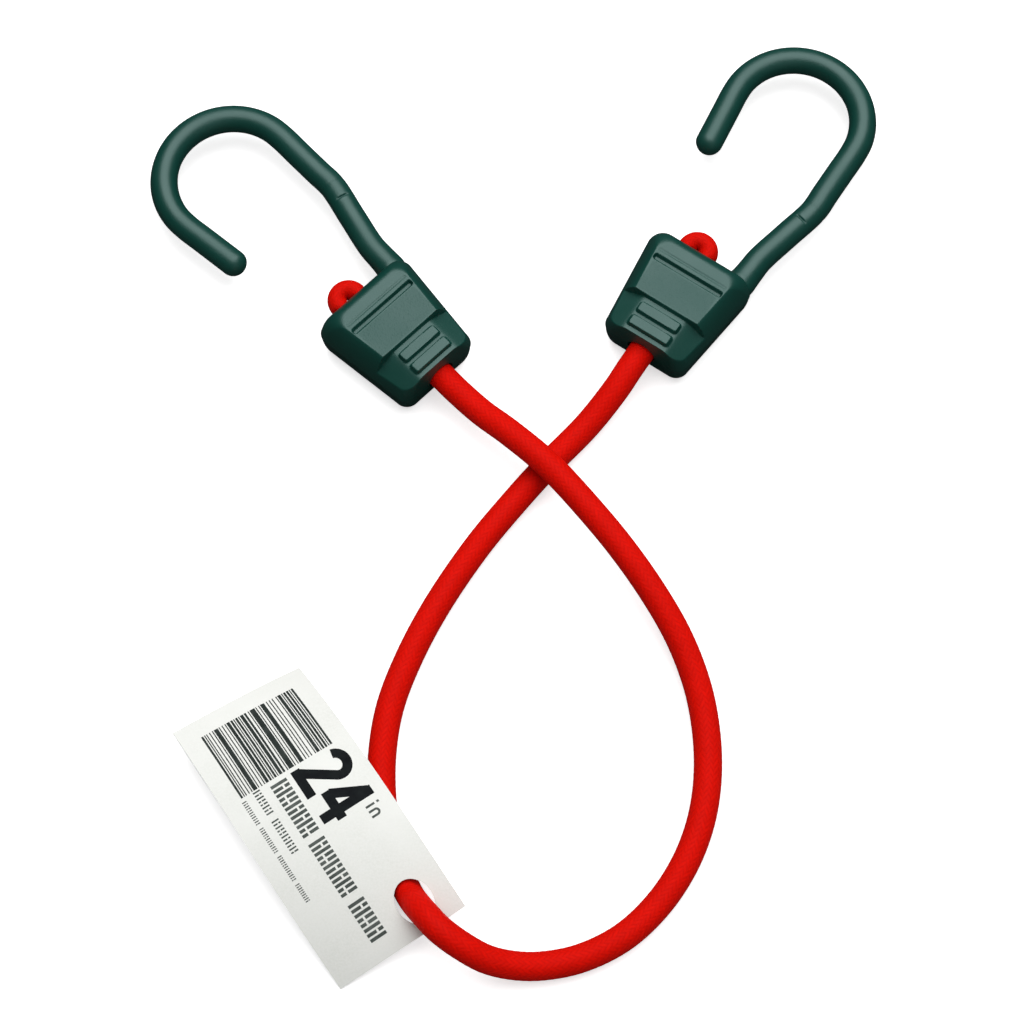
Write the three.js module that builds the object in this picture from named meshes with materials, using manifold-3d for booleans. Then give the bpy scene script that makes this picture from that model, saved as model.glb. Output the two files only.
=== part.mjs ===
// Bungee cord: an elastic cord laid in a crossed loop, a moulded hook at each end, a card tag on the loop.
// Millimetres, +Z up. Everything lies on the plane z = 0, the hooks on the backs of their blocks.
import * as THREE from 'three';
import { mergeVertices } from 'three/addons/utils/BufferGeometryUtils.js';
import Module from 'manifold-3d';

const wasm = await Module();
wasm.setup();

// Clearances
const FIT = 0.3; // round a piece that sits in another
const JOIN_GAP = 0.3; // between two pieces that meet face to face
const CUT_RUN = 2; // how far a cutting shape runs past the face that it opens

// Cord: a latex core in a braided cover
const CORD_DIAMETER = 7.2;
const COVER_WALL = 0.9;
const NECK_LENGTH = 16; // bends where a hook swings
const RUN_LENGTH = 85; // gives when the cord is pulled
const CORD_SIDES = 12;
const CORE_SIDES = 8;
const CORD_STEP = 6; // along the cord, between two rings of its solid

// Cord inside a block: up from the mouth, over a bridge in a small loop, and down to a crimped tail
const BRIDGE_WIDTH = 1.4; // the block's bar inside the loop
const LOOP_RISE = 0.8; // the loop's centre past the block's hook end
const SQUEEZED_HALF_WIDTH = 2; // the cord drawn tight, across the hook's plane face
const SQUEEZED_HALF_HEIGHT = 3.1; // the same, through the block's thickness
const SQUEEZED_WALL = 0.7;
const LOOP_SWELL = 0.6; // how much wider the cord grows again in the loop
const SQUEEZE_START = 13; // from the mouth
const SQUEEZE_LENGTH = 12;
const TAIL_SHIFT = 2; // how far the tail moves out from under the loop
const TAIL_LENGTH = 18.3; // down from the loop's centre
const FERRULE_LENGTH = 5.5;
const FERRULE_WALL = 0.6;
const TAIL_STICKS_OUT = 1; // of the ferrule

// Hook: bent steel wire in a plastic coating
const WIRE_DIAMETER = 4.4;
const COATING_WALL = 1.1;
const BOWL_RADIUS = 18.1; // of the wire's centreline
const BOWL_OFFSET = -1.6; // the bowl's centre across the block's axis
const TIP_LEG = 16.2; // straight end of the wire, after the bowl
const TIP_LEAN = 7; // degrees, the straight end leans in
const SHANK_LENGTH = 20.3; // straight, from the bowl's centre to the bend over the sleeve
const SLEEVE_REACH = 28; // the block's sleeve up the shank, from the block's hook end to the bend
const KNEE_HEIGHT = 8; // a slighter bend in the sleeve, over the block's hook end
const KNEE_OFFSET = 12; // the same bend, across the block's axis
const ENTRY_OFFSET = 11.4; // the wire where it enters the block's hook end, across the axis
const SLEEVE_SUNK = 7.5; // where the sleeve starts inside the block, from the hook end
const WIRE_SUNK = 22.5; // the wire inside the block, from the hook end
const FOOT_WALL = 1.2; // between the wire's foot and the cord's passage
const WIRE_SIDES = 12;
const BORE_SIDES = 8;
const WIRE_STEP = 4.5;

// Block: a wedge with rounded sides, wider at the hook
const BLOCK_LENGTH = 31.5;
const CORD_END_WIDTH = 25.4;
const HOOK_END_WIDTH = 31;
const BLOCK_THICKNESS = 17;
const SIDE_ROUND = 4.2; // how far the sides draw in up to the front
const HOOK_END_ROUND = 4.5;
const CORD_END_ROUND = 1.6;
const BACK_ROUND = 1.8; // how far every side draws in down to the back
const CORNER_RADIUS = 3.5;
const CORNER_POINTS = 4;

// Front of the block: rim, groove, panel and two ribs
const RELIEF_DEPTH = 1.2;
const GROOVE_FROM_HOOK_END = 9.6;
const GROOVE_WIDTH = 1.4;
const GROOVE_INSET = 1; // from the sides of the front
const PANEL_FOOT = 11.2; // the panel's lower edge, from the mouth
const RIB_INSET = 2.4; // from the sides of the front
const RIB_WIDTH = 3;
const UPPER_RIB_FROM_MOUTH = 7.9;
const LOWER_RIB_FROM_MOUTH = 3.6;
const SHOULDER_FALL = 30; // degrees, how the field slopes off past the ribs' ends

// Tag: a curled card on the cord, which stands on two of its corners
const TAG_LENGTH = 77.5;
const TAG_WIDTH = 37;
const TAG_THICKNESS = 0.5;
const TAG_CURL_RADIUS = 92;
const TAG_CURL_SKEW = 36.5; // degrees between its length and the way that it curls
const TAG_TURN = 33.6; // degrees on the plane
const TAG_CELLS = [8, 16]; // of its solid, across and along
const TAG_HOLE_CLEARANCE = 4.6; // the hole over the cord's diameter
const TAG_HOLE_FROM_SIDE = 9.8;
const TAG_HOLE_FROM_END = 7.9;
const TAG_HOLE_AT = [-24.7, -107.1]; // on the plane

// Where the hooks lie: the middle of each block's mouth on the plane, and the turn of its axis from +Y
const LEFT_MOUTH_AT = [-19.3, 32];
const RIGHT_MOUTH_AT = [33.2, 38.5];
const ENDS = [
  { side: 'left', mouth: LEFT_MOUTH_AT, turn: 44 },
  { side: 'right', mouth: RIGHT_MOUTH_AT, turn: -33.5 },
];

// The cord's route between the two mouths: x, y and the lift of its underside off the plane.
// It passes over its own other end, and later up through the tag's hole.
const ROUTE = [
  [-14.9, 27.4, 4.9],
  [-8.5, 21.1, 5.8],
  [-1.5, 15.1, 7.4],
  [8.6, 5.8, 8.4],
  [21.6, -9.2, 8.1],
  [28.7, -18.3, 7.1],
  [35.2, -27.7, 5.5],
  [40.7, -37, 3.6],
  [44.5, -45.6, 1.9],
  [47.2, -55, 0.7],
  [48.6, -67, 0.1],
  [48.1, -78.2, 0.1],
  [45.9, -88.2, 0.1],
  [41.7, -98, 0.1],
  [35.2, -107.4, 0.1],
  [26.6, -115.3, 0.1],
  [16.3, -120.4, 0.1],
  [6.9, -122.4, 0.6],
  [-0.1, -122.6, 2.2],
  [-6.9, -121.5, 4.7],
  [-13.1, -118.6, 7.4],
  [-18.4, -114.9, 8.6],
  [-21.8, -111.2, 7.7],
  [-23.6, -108.9, 5.9],
  [-25.7, -105.5, 2],
  [-27.1, -102.7, 0.6],
  [-29.1, -98, 0.1],
  [-31.7, -89.6, 0.1],
  [-33.2, -80.5, 0.1],
  [-33.4, -69, 0.1],
  [-31.6, -56.6, 0.1],
  [-26.9, -43.5, 0.1],
  [-19.9, -29.6, 0.1],
  [-9.5, -13.5, 0.1],
  [0.6, -0.7, 0.1],
  [8.7, 8.7, 0.1],
  [19.2, 19.6, 1.2],
  [26.7, 28.7, 3.9],
  [29.9, 33.5, 4.7],
];

// Sizes that follow
const CORD_RADIUS = CORD_DIAMETER / 2;
const MID_HEIGHT = BLOCK_THICKNESS / 2;
const WIRE_RADIUS = WIRE_DIAMETER / 2;
const WIRE_BORE_RADIUS = WIRE_RADIUS + FIT;
const COATING_RADIUS = WIRE_BORE_RADIUS + COATING_WALL;
const BEND_HEIGHT = BLOCK_LENGTH + SLEEVE_REACH;
const BOWL_HEIGHT = BEND_HEIGHT + SHANK_LENGTH;
const SHANK_OFFSET = BOWL_OFFSET + BOWL_RADIUS;
const FOOT_HEIGHT = BLOCK_LENGTH - WIRE_SUNK;
const FOOT_OFFSET = CORD_RADIUS + FIT + FOOT_WALL + WIRE_BORE_RADIUS;
const LOOP_RADIUS = SQUEEZED_HALF_WIDTH + FIT + BRIDGE_WIDTH / 2;
const LOOP_CENTRE = BLOCK_LENGTH + LOOP_RISE;
const TAIL_OFFSET = 2 * LOOP_RADIUS + TAIL_SHIFT;
const TAIL_END = LOOP_CENTRE - TAIL_LENGTH;
const FERRULE_FOOT = TAIL_END + TAIL_STICKS_OUT;
const FERRULE_HEAD = FERRULE_FOOT + FERRULE_LENGTH;
const FERRULE_HALF_WIDTH = SQUEEZED_HALF_WIDTH + FIT + FERRULE_WALL;
const FERRULE_HALF_HEIGHT = SQUEEZED_HALF_HEIGHT + FIT + FERRULE_WALL;

const red = new THREE.MeshStandardMaterial({ color: 0xd8140c, roughness: 0.75, metalness: 0 });
const latex = new THREE.MeshStandardMaterial({ color: 0xd9c7a0, roughness: 0.9, metalness: 0 });
const green = new THREE.MeshStandardMaterial({ color: 0x1f3b36, roughness: 0.45, metalness: 0 });
const steel = new THREE.MeshStandardMaterial({ color: 0x9a9da0, roughness: 0.35, metalness: 1 });
const alloy = new THREE.MeshStandardMaterial({ color: 0xb9bcc0, roughness: 0.4, metalness: 1 });
const card = new THREE.MeshStandardMaterial({ color: 0xf0f1ec, roughness: 0.6, metalness: 0 });

// Solids for joining and cutting

function toSolid(geometry) {
  const bare = geometry.clone();
  bare.deleteAttribute('normal');
  bare.deleteAttribute('uv');
  const merged = mergeVertices(bare, 1e-4);
  const vertProperties = new Float32Array(merged.attributes.position.array);
  const triVerts = new Uint32Array(merged.index.array);
  return new wasm.Manifold(new wasm.Mesh({ numProp: 3, vertProperties, triVerts }));
}

function toGeometry(solid) {
  const { vertProperties, triVerts } = solid.getMesh();
  const geometry = new THREE.BufferGeometry();
  geometry.setAttribute('position', new THREE.BufferAttribute(vertProperties, 3));
  geometry.setIndex(new THREE.BufferAttribute(triVerts, 1));
  geometry.computeVertexNormals();
  return geometry;
}

function boxSolid(low, high) {
  const size = high.map((value, axis) => value - low[axis]);
  const geometry = new THREE.BoxGeometry(...size);
  geometry.translate(...low.map((value, axis) => value + size[axis] / 2));
  return toSolid(geometry);
}

// Rings of equal length, joined in order and closed by a flat cap at each end.
function loft(rings) {
  const count = rings[0].length;
  const points = rings.flat();
  const index = [];
  for (let ring = 0; ring + 1 < rings.length; ring += 1) {
    for (let side = 0; side < count; side += 1) {
      const a = ring * count + side;
      const b = ring * count + ((side + 1) % count);
      index.push(a, b, b + count, a, b + count, a + count);
    }
  }
  for (const [ring, flip] of [[0, true], [rings.length - 1, false]]) {
    const centre = new THREE.Vector3();
    rings[ring].forEach((point) => centre.addScaledVector(point, 1 / count));
    const middle = points.push(centre) - 1;
    for (let side = 0; side < count; side += 1) {
      const a = ring * count + side;
      const b = ring * count + ((side + 1) % count);
      index.push(...(flip ? [middle, b, a] : [middle, a, b]));
    }
  }
  const geometry = new THREE.BufferGeometry().setFromPoints(points);
  geometry.setIndex(index);
  return geometry;
}

// Part of a curve, between two distances along it.
class Stretch extends THREE.Curve {
  constructor(curve, from, to) {
    super();
    this.curve = curve;
    this.from = from / curve.getLength();
    this.to = to / curve.getLength();
  }

  getPoint(t, target = new THREE.Vector3()) {
    return this.curve.getPointAt(this.from + t * (this.to - this.from), target);
  }
}

function roundSection(radius, sides) {
  const turn = Math.PI / sides;
  const points = [];
  for (let side = 0; side < sides; side += 1) {
    const angle = turn + (side * 2 * Math.PI) / sides;
    points.push(new THREE.Vector2(radius * Math.cos(angle), radius * Math.sin(angle)));
  }
  return points;
}

function rod(curve, from, to, radius, sides, step) {
  const steps = Math.max(2, Math.round((to - from) / step));
  const extrudePath = new Stretch(curve, from, to);
  return new THREE.ExtrudeGeometry(new THREE.Shape(roundSection(radius, sides)), { steps, extrudePath });
}

function pipe(curve, from, to, outside, bore, step) {
  const steps = Math.max(2, Math.round((to - from) / step));
  const extrudePath = new Stretch(curve, from, to);
  const section = new THREE.Shape(roundSection(outside.radius, outside.sides));
  section.holes.push(new THREE.Path(roundSection(bore.radius, bore.sides)));
  return new THREE.ExtrudeGeometry(section, { steps, extrudePath });
}

function smoothCurve(points) {
  const curve = new THREE.CatmullRomCurve3(points, false, 'centripetal');
  curve.arcLengthDivisions = 1200;
  return curve;
}

// Hook, in its own frame: the mouth's middle at the origin, the block's axis along +Y

// From the tip's round end, down the shank, to the wire's foot in the block.
function hookCentreline() {
  const flat = [];
  const lean = THREE.MathUtils.degToRad(TIP_LEAN);
  const bowlEnd = Math.PI + lean;
  const bowlAt = (angle) => [
    BOWL_OFFSET + BOWL_RADIUS * Math.cos(angle),
    BOWL_HEIGHT + BOWL_RADIUS * Math.sin(angle),
  ];
  const [legX, legY] = bowlAt(bowlEnd);
  for (const share of [1, 0.66, 0.33]) {
    const along = share * TIP_LEG;
    flat.push([legX + along * Math.sin(lean), legY - along * Math.cos(lean)]);
  }
  const arcSteps = 14;
  for (let step = 0; step <= arcSteps; step += 1) {
    flat.push(bowlAt(bowlEnd * (1 - step / arcSteps)));
  }
  for (const share of [0.35, 0.7, 1]) {
    flat.push([SHANK_OFFSET, THREE.MathUtils.lerp(BOWL_HEIGHT, BEND_HEIGHT, share)]);
  }
  const bends = [
    [KNEE_OFFSET, BLOCK_LENGTH + KNEE_HEIGHT],
    [ENTRY_OFFSET, BLOCK_LENGTH],
    [FOOT_OFFSET, FOOT_HEIGHT],
  ];
  for (const [x, y] of bends) {
    const [lastX, lastY] = flat.at(-1);
    flat.push([(lastX + x) / 2, (lastY + y) / 2]);
    flat.push([x, y]);
  }
  return smoothCurve(flat.map(([x, y]) => new THREE.Vector3(x, y, MID_HEIGHT)));
}

const hookLine = hookCentreline();
const hookLength = hookLine.getLength();

// Distance along the hook's centreline where its shank comes down to a given height over the mouth.
// The second half of the line only falls, so the place is found by halving.
function distanceDownTo(height) {
  let above = hookLength / 2;
  let below = hookLength;
  const halvings = 40;
  for (let halving = 0; halving < halvings; halving += 1) {
    const middle = (above + below) / 2;
    const isAbove = hookLine.getPointAt(middle / hookLength).y > height;
    above = isAbove ? middle : above;
    below = isAbove ? below : middle;
  }
  return above;
}

const coatingEnd = distanceDownTo(BEND_HEIGHT);

function hookWire() {
  const tipCover = FIT + JOIN_GAP;
  return rod(hookLine, tipCover, hookLength, WIRE_RADIUS, BORE_SIDES, WIRE_STEP);
}

function hookCoating() {
  const end = coatingEnd - JOIN_GAP / 2;
  const tube = toSolid(rod(hookLine, 0, end, COATING_RADIUS, WIRE_SIDES, WIRE_STEP));
  const tip = new THREE.SphereGeometry(COATING_RADIUS, WIRE_SIDES, WIRE_SIDES / 2);
  tip.translate(...hookLine.getPointAt(0).toArray());
  const bore = toSolid(rod(hookLine, JOIN_GAP, end + CUT_RUN, WIRE_BORE_RADIUS, BORE_SIDES, WIRE_STEP));
  return toGeometry(tube.add(toSolid(tip)).subtract(bore));
}

// The cord's way through a block, as stations with a centre and two half sizes.
function cordStations() {
  const squeeze = (y) => THREE.MathUtils.smoothstep(y, SQUEEZE_START, SQUEEZE_START + SQUEEZE_LENGTH);
  const station = (x, y, tangent, share, swell = 0) => ({
    centre: new THREE.Vector3(x, y, MID_HEIGHT),
    across: new THREE.Vector3(-tangent[1], tangent[0], 0).normalize(),
    halfWidth: THREE.MathUtils.lerp(CORD_RADIUS, SQUEEZED_HALF_WIDTH, share) + swell,
    halfHeight: THREE.MathUtils.lerp(CORD_RADIUS, SQUEEZED_HALF_HEIGHT, share),
    wall: THREE.MathUtils.lerp(COVER_WALL, SQUEEZED_WALL, share),
  });
  const stations = [];
  const upSteps = 7;
  for (let step = 0; step <= upSteps; step += 1) {
    const y = (step / upSteps) * BLOCK_LENGTH;
    stations.push(station(0, y, [0, 1], squeeze(y)));
  }
  const loopSteps = 8;
  for (let step = 0; step <= loopSteps; step += 1) {
    const angle = (step / loopSteps) * Math.PI;
    const x = LOOP_RADIUS * (Math.cos(angle) - 1);
    const y = LOOP_CENTRE + LOOP_RADIUS * Math.sin(angle);
    stations.push(station(x, y, [-Math.sin(angle), Math.cos(angle)], 1, LOOP_SWELL));
  }
  const downSteps = 6;
  for (let step = 0; step <= downSteps; step += 1) {
    const y = THREE.MathUtils.lerp(BLOCK_LENGTH, FERRULE_HEAD, step / downSteps);
    const share = THREE.MathUtils.smoothstep(step / downSteps, 0, 1);
    const x = THREE.MathUtils.lerp(-2 * LOOP_RADIUS, -TAIL_OFFSET, share);
    stations.push(station(x, y, [0, -1], 1));
  }
  stations.push(station(-TAIL_OFFSET, TAIL_END, [0, -1], 1));
  return stations;
}

// A tube of oval section through stations; grow moves its wall out, and a run lengthens both its ends.
function ovalSweep(stations, sides, grow, run = 0) {
  const rings = stations.map(({ centre, across, halfWidth, halfHeight, wall }) => {
    const out = grow(wall);
    return roundSection(1, sides).map((point) => {
      const place = centre.clone().addScaledVector(across, point.x * (halfWidth + out));
      place.z += point.y * (halfHeight + out);
      return place;
    });
  });
  rings[0].forEach((point) => point.setY(point.y - run));
  rings.at(-1).forEach((point) => point.setY(point.y - run));
  return loft(rings);
}

const stations = cordStations();

function endCover() {
  const outer = toSolid(ovalSweep(stations, CORD_SIDES, () => 0));
  const inner = toSolid(ovalSweep(stations, CORE_SIDES, (wall) => -wall, CUT_RUN));
  return toGeometry(outer.subtract(inner));
}

function endCore() {
  return ovalSweep(stations, CORE_SIDES, (wall) => -wall - FIT);
}

function tailFerrule() {
  const tail = stations.at(-1);
  const at = (y) => ({ ...tail, centre: new THREE.Vector3(-TAIL_OFFSET, y, MID_HEIGHT) });
  const length = [at(FERRULE_HEAD), at(FERRULE_FOOT)];
  const past = [at(FERRULE_HEAD + CUT_RUN), at(FERRULE_FOOT - CUT_RUN)];
  const outer = toSolid(ovalSweep(length, CORD_SIDES, () => FIT + FERRULE_WALL));
  return toGeometry(outer.subtract(toSolid(ovalSweep(past, CORD_SIDES, () => FIT))));
}

// The block's outline at one height, drawn in from its widest by a distance for each side.
function blockOutline(z, drawnIn) {
  const bottom = drawnIn.cordEnd;
  const top = BLOCK_LENGTH - drawnIn.hookEnd;
  const halfWidth = (y) => {
    const share = y / BLOCK_LENGTH;
    return THREE.MathUtils.lerp(CORD_END_WIDTH, HOOK_END_WIDTH, share) / 2 - drawnIn.sides;
  };
  const radius = CORNER_RADIUS;
  const corners = [
    [halfWidth(bottom) - radius, bottom + radius, -90],
    [halfWidth(top) - radius, top - radius, 0],
    [-halfWidth(top) + radius, top - radius, 90],
    [-halfWidth(bottom) + radius, bottom + radius, 180],
  ];
  return corners.flatMap(([x, y, start]) => {
    const points = [];
    for (let step = 0; step < CORNER_POINTS; step += 1) {
      const angle = THREE.MathUtils.degToRad(start + (90 * step) / (CORNER_POINTS - 1));
      points.push(new THREE.Vector3(x + radius * Math.cos(angle), y + radius * Math.sin(angle), z));
    }
    return points;
  });
}

// Each side follows a quarter of an ellipse from the middle of the thickness to the back and the front.
function blockBody() {
  const levels = [-1, -0.85, -0.5, 0, 0.35, 0.6, 0.8, 0.93, 1];
  const rings = levels.map((level) => {
    const share = 1 - Math.sqrt(1 - level * level);
    const front = level > 0;
    return blockOutline(MID_HEIGHT * (1 + level), {
      sides: share * (front ? SIDE_ROUND : BACK_ROUND),
      hookEnd: share * (front ? HOOK_END_ROUND : BACK_ROUND),
      cordEnd: share * (front ? CORD_END_ROUND : BACK_ROUND),
    });
  });
  return toSolid(loft(rings));
}

// What stands back on the front: the groove under the rim, and the field round the two ribs,
// which slopes off past their ends.
function blockRelief() {
  const floor = BLOCK_THICKNESS - RELIEF_DEPTH;
  const above = BLOCK_THICKNESS + CUT_RUN;
  const band = (halfLength, y, width) =>
    boxSolid([-halfLength, y - width / 2, floor], [halfLength, y + width / 2, above]);
  const grooveHalfLength = HOOK_END_WIDTH / 2 - SIDE_ROUND - GROOVE_INSET;
  const ribHalfLength = CORD_END_WIDTH / 2 - SIDE_ROUND - RIB_INSET;
  const groove = band(grooveHalfLength, BLOCK_LENGTH - GROOVE_FROM_HOOK_END, GROOVE_WIDTH);
  const field = boxSolid([-HOOK_END_WIDTH, -CUT_RUN, floor], [HOOK_END_WIDTH, PANEL_FOOT, above]);
  const upperRib = band(ribHalfLength, UPPER_RIB_FROM_MOUTH, RIB_WIDTH);
  const lowerRib = band(ribHalfLength, LOWER_RIB_FROM_MOUTH, RIB_WIDTH);
  const reach = HOOK_END_WIDTH;
  const shoulders = [-1, 1].map((side) => {
    const wedge = boxSolid([side < 0 ? -reach : 0, -CUT_RUN, 0], [side < 0 ? 0 : reach, PANEL_FOOT, reach]);
    return wedge.rotate([0, side * SHOULDER_FALL, 0]).translate([side * (ribHalfLength + FIT), 0, floor]);
  });
  return field.subtract(upperRib).subtract(lowerRib).add(groove).add(shoulders[0]).add(shoulders[1]);
}

// Opening in the back, where the ferrule is crimped on the tail and pulled up to its seat.
function crimpWindow() {
  const halfWidth = FERRULE_HALF_WIDTH + FIT;
  return boxSolid(
    [-TAIL_OFFSET - halfWidth, TAIL_END - TAIL_STICKS_OUT, -CUT_RUN],
    [-TAIL_OFFSET + halfWidth, FERRULE_HEAD + FIT, MID_HEIGHT + FERRULE_HALF_HEIGHT + FIT],
  );
}

function hookBlock() {
  const sleeveRoot = distanceDownTo(BLOCK_LENGTH - SLEEVE_SUNK);
  const sleeveTop = coatingEnd + JOIN_GAP / 2;
  const sleeve = rod(hookLine, sleeveTop, sleeveRoot, COATING_RADIUS, WIRE_SIDES, WIRE_STEP);
  const boreStart = coatingEnd - CUT_RUN;
  const wireBore = rod(hookLine, boreStart, hookLength, WIRE_BORE_RADIUS, BORE_SIDES, WIRE_STEP);
  const wireFoot = new THREE.SphereGeometry(WIRE_BORE_RADIUS, BORE_SIDES, BORE_SIDES / 2);
  wireFoot.translate(...hookLine.getPointAt(1).toArray());
  const passage = ovalSweep(stations, CORD_SIDES, () => FIT, CUT_RUN);
  return toGeometry(
    blockBody()
      .subtract(blockRelief())
      .add(toSolid(sleeve))
      .subtract(toSolid(wireBore))
      .subtract(toSolid(wireFoot))
      .subtract(toSolid(passage))
      .subtract(crimpWindow()),
  );
}

// Cord, from one mouth to the other

function mouthPoint({ mouth }) {
  return new THREE.Vector3(mouth[0], mouth[1], MID_HEIGHT);
}

function cordCurve() {
  const free = ROUTE.map(([x, y, lift]) => new THREE.Vector3(x, y, lift + CORD_RADIUS));
  return smoothCurve([mouthPoint(ENDS[0]), ...free, mouthPoint(ENDS[1])]);
}

// The cord's free stretches as [name, from, to], with a gap where they meet.
function cordStretches(length) {
  const bounds = [0, NECK_LENGTH, NECK_LENGTH + RUN_LENGTH];
  const marks = [...bounds, ...bounds.map((bound) => length - bound).reverse()];
  const names = ['left_neck', 'left_run', 'loop', 'right_run', 'right_neck'];
  return names.map((name, place) => [name, marks[place] + JOIN_GAP / 2, marks[place + 1] - JOIN_GAP / 2]);
}

// Tag, in its own frame: width along X, length along Y with the hole near -Y, its middle at the origin

// Bends a place on the flat card, with its height over the card's middle as z, down on both sides
// of an axis through the origin.
function curled(flat) {
  const skew = THREE.MathUtils.degToRad(TAG_CURL_SKEW);
  const bendWay = new THREE.Vector3(Math.sin(skew), Math.cos(skew), 0);
  const distance = flat.dot(bendWay);
  const angle = distance / TAG_CURL_RADIUS;
  const radius = TAG_CURL_RADIUS + flat.z;
  return flat.clone()
    .addScaledVector(bendWay, radius * Math.sin(angle) - distance)
    .setZ(radius * Math.cos(angle) - TAG_CURL_RADIUS);
}

function tagGeometry() {
  const plate = new THREE.BoxGeometry(TAG_WIDTH, TAG_LENGTH, TAG_THICKNESS, ...TAG_CELLS);
  const corners = plate.attributes.position;
  for (let corner = 0; corner < corners.count; corner += 1) {
    const place = curled(new THREE.Vector3().fromBufferAttribute(corners, corner));
    corners.setXYZ(corner, ...place.toArray());
  }
  const hole = tagHole();
  const holeRadius = (CORD_DIAMETER + TAG_HOLE_CLEARANCE) / 2;
  const punch = new THREE.CylinderGeometry(holeRadius, holeRadius, 4 * CUT_RUN, 24);
  const along = new THREE.Vector3(0, 1, 0);
  punch.applyQuaternion(new THREE.Quaternion().setFromUnitVectors(along, hole.outward));
  punch.translate(...hole.place.toArray());
  return toGeometry(toSolid(plate).subtract(toSolid(punch)));
}

function tagHole() {
  const x = TAG_WIDTH / 2 - TAG_HOLE_FROM_SIDE;
  const y = TAG_HOLE_FROM_END - TAG_LENGTH / 2;
  const place = curled(new THREE.Vector3(x, y, 0));
  return { place, outward: curled(new THREE.Vector3(x, y, 1)).sub(place) };
}

// Scene

const bungeeCord = new THREE.Group();

function addPiece(parent, name, geometry, material) {
  const piece = new THREE.Mesh(geometry, material);
  piece.name = name;
  parent.add(piece);
  return piece;
}

for (const end of ENDS) {
  const hook = new THREE.Group();
  hook.position.set(end.mouth[0], end.mouth[1], 0);
  hook.rotation.z = THREE.MathUtils.degToRad(end.turn);
  addPiece(hook, `${end.side}_hook_wire`, hookWire(), steel);
  addPiece(hook, `${end.side}_hook_coating`, hookCoating(), green);
  addPiece(hook, `${end.side}_hook_block`, hookBlock(), green);
  addPiece(hook, `${end.side}_end_cover`, endCover(), red);
  addPiece(hook, `${end.side}_end_core`, endCore(), latex);
  addPiece(hook, `${end.side}_tail_ferrule`, tailFerrule(), alloy);
  bungeeCord.add(hook);
}

const cord = cordCurve();
const cordOutside = { radius: CORD_RADIUS, sides: CORD_SIDES };
const cordBore = { radius: CORD_RADIUS - COVER_WALL, sides: CORE_SIDES };
for (const [name, from, to] of cordStretches(cord.getLength())) {
  const cover = pipe(cord, from, to, cordOutside, cordBore, CORD_STEP);
  const core = rod(cord, from, to, cordBore.radius - FIT, CORE_SIDES, CORD_STEP);
  addPiece(bungeeCord, `${name}_cover`, cover, red);
  addPiece(bungeeCord, `${name}_core`, core, latex);
}

const tag = addPiece(bungeeCord, 'tag', tagGeometry(), card);
tag.rotation.z = THREE.MathUtils.degToRad(TAG_TURN);
tag.updateMatrix();
const holeOffset = tagHole().place.applyMatrix4(tag.matrix);
const lowest = new THREE.Box3().setFromBufferAttribute(
  tag.geometry.clone().applyMatrix4(tag.matrix).attributes.position,
).min.z;
tag.position.set(TAG_HOLE_AT[0] - holeOffset.x, TAG_HOLE_AT[1] - holeOffset.y, -lowest);

export default bungeeCord;
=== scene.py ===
"""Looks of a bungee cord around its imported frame: braided cord, coated hooks in moulded blocks, card tag.

Sizes are in metres and angles in degrees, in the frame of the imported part: +Z up, the cord lying on the
plane z = 0.
"""

import logging
from dataclasses import dataclass, field
from enum import Enum

import bpy
import numpy as np
from mathutils import Matrix, Vector

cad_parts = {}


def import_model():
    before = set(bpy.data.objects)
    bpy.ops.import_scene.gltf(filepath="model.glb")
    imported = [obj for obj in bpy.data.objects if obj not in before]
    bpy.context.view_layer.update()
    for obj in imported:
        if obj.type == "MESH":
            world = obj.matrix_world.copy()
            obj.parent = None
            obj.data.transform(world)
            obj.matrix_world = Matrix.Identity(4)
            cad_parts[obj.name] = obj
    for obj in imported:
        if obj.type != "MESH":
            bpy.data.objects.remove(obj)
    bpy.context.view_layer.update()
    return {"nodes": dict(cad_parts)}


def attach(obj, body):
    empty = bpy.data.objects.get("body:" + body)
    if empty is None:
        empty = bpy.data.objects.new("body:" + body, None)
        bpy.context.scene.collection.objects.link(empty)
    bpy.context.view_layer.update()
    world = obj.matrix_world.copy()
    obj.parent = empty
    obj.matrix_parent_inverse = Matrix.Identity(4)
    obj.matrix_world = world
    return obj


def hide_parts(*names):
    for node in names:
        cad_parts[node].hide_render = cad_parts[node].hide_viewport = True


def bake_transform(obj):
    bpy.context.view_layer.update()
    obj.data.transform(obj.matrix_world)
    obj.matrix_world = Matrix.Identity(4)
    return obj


LOG = logging.getLogger("bungee_cord")
FULL_TURN = 2.0 * np.pi
UP = np.array([0.0, 0.0, 1.0])
WHITE = (1.0, 1.0, 1.0, 1.0)
SHARP_EDGE = 40.0

Array = np.ndarray
Pair = tuple[float, float]
Triple = tuple[float, float, float]
Halves = tuple[Array | float, Array | float]
Colour = tuple[float, float, float, float]
Piece = bpy.types.Object
Mesh = bpy.types.Mesh
Material = bpy.types.Material
Tree = bpy.types.NodeTree
Node = bpy.types.Node
Socket = bpy.types.NodeSocket


class Slot(str, Enum):
    """Names of the record's material slots, one for each kind of piece."""

    COVER = "cord_cover"
    CORE = "cord_core"
    PLASTIC = "hook_plastic"
    FERRULE = "ferrule"
    CARD = "tag_card"


class Solid(str, Enum):
    """Ways of working one solid with another."""

    JOIN = "UNION"
    CUT = "DIFFERENCE"


class Side(str, Enum):
    """The two ends of the cord, as seen from the loop."""

    LEFT = "left"
    RIGHT = "right"


class Form(Enum):
    """What a grid of points closes to: nothing, a tube round its columns, or a ring of tube."""

    SHEET = "sheet"
    TUBE = "tube"
    TORUS = "torus"


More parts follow.
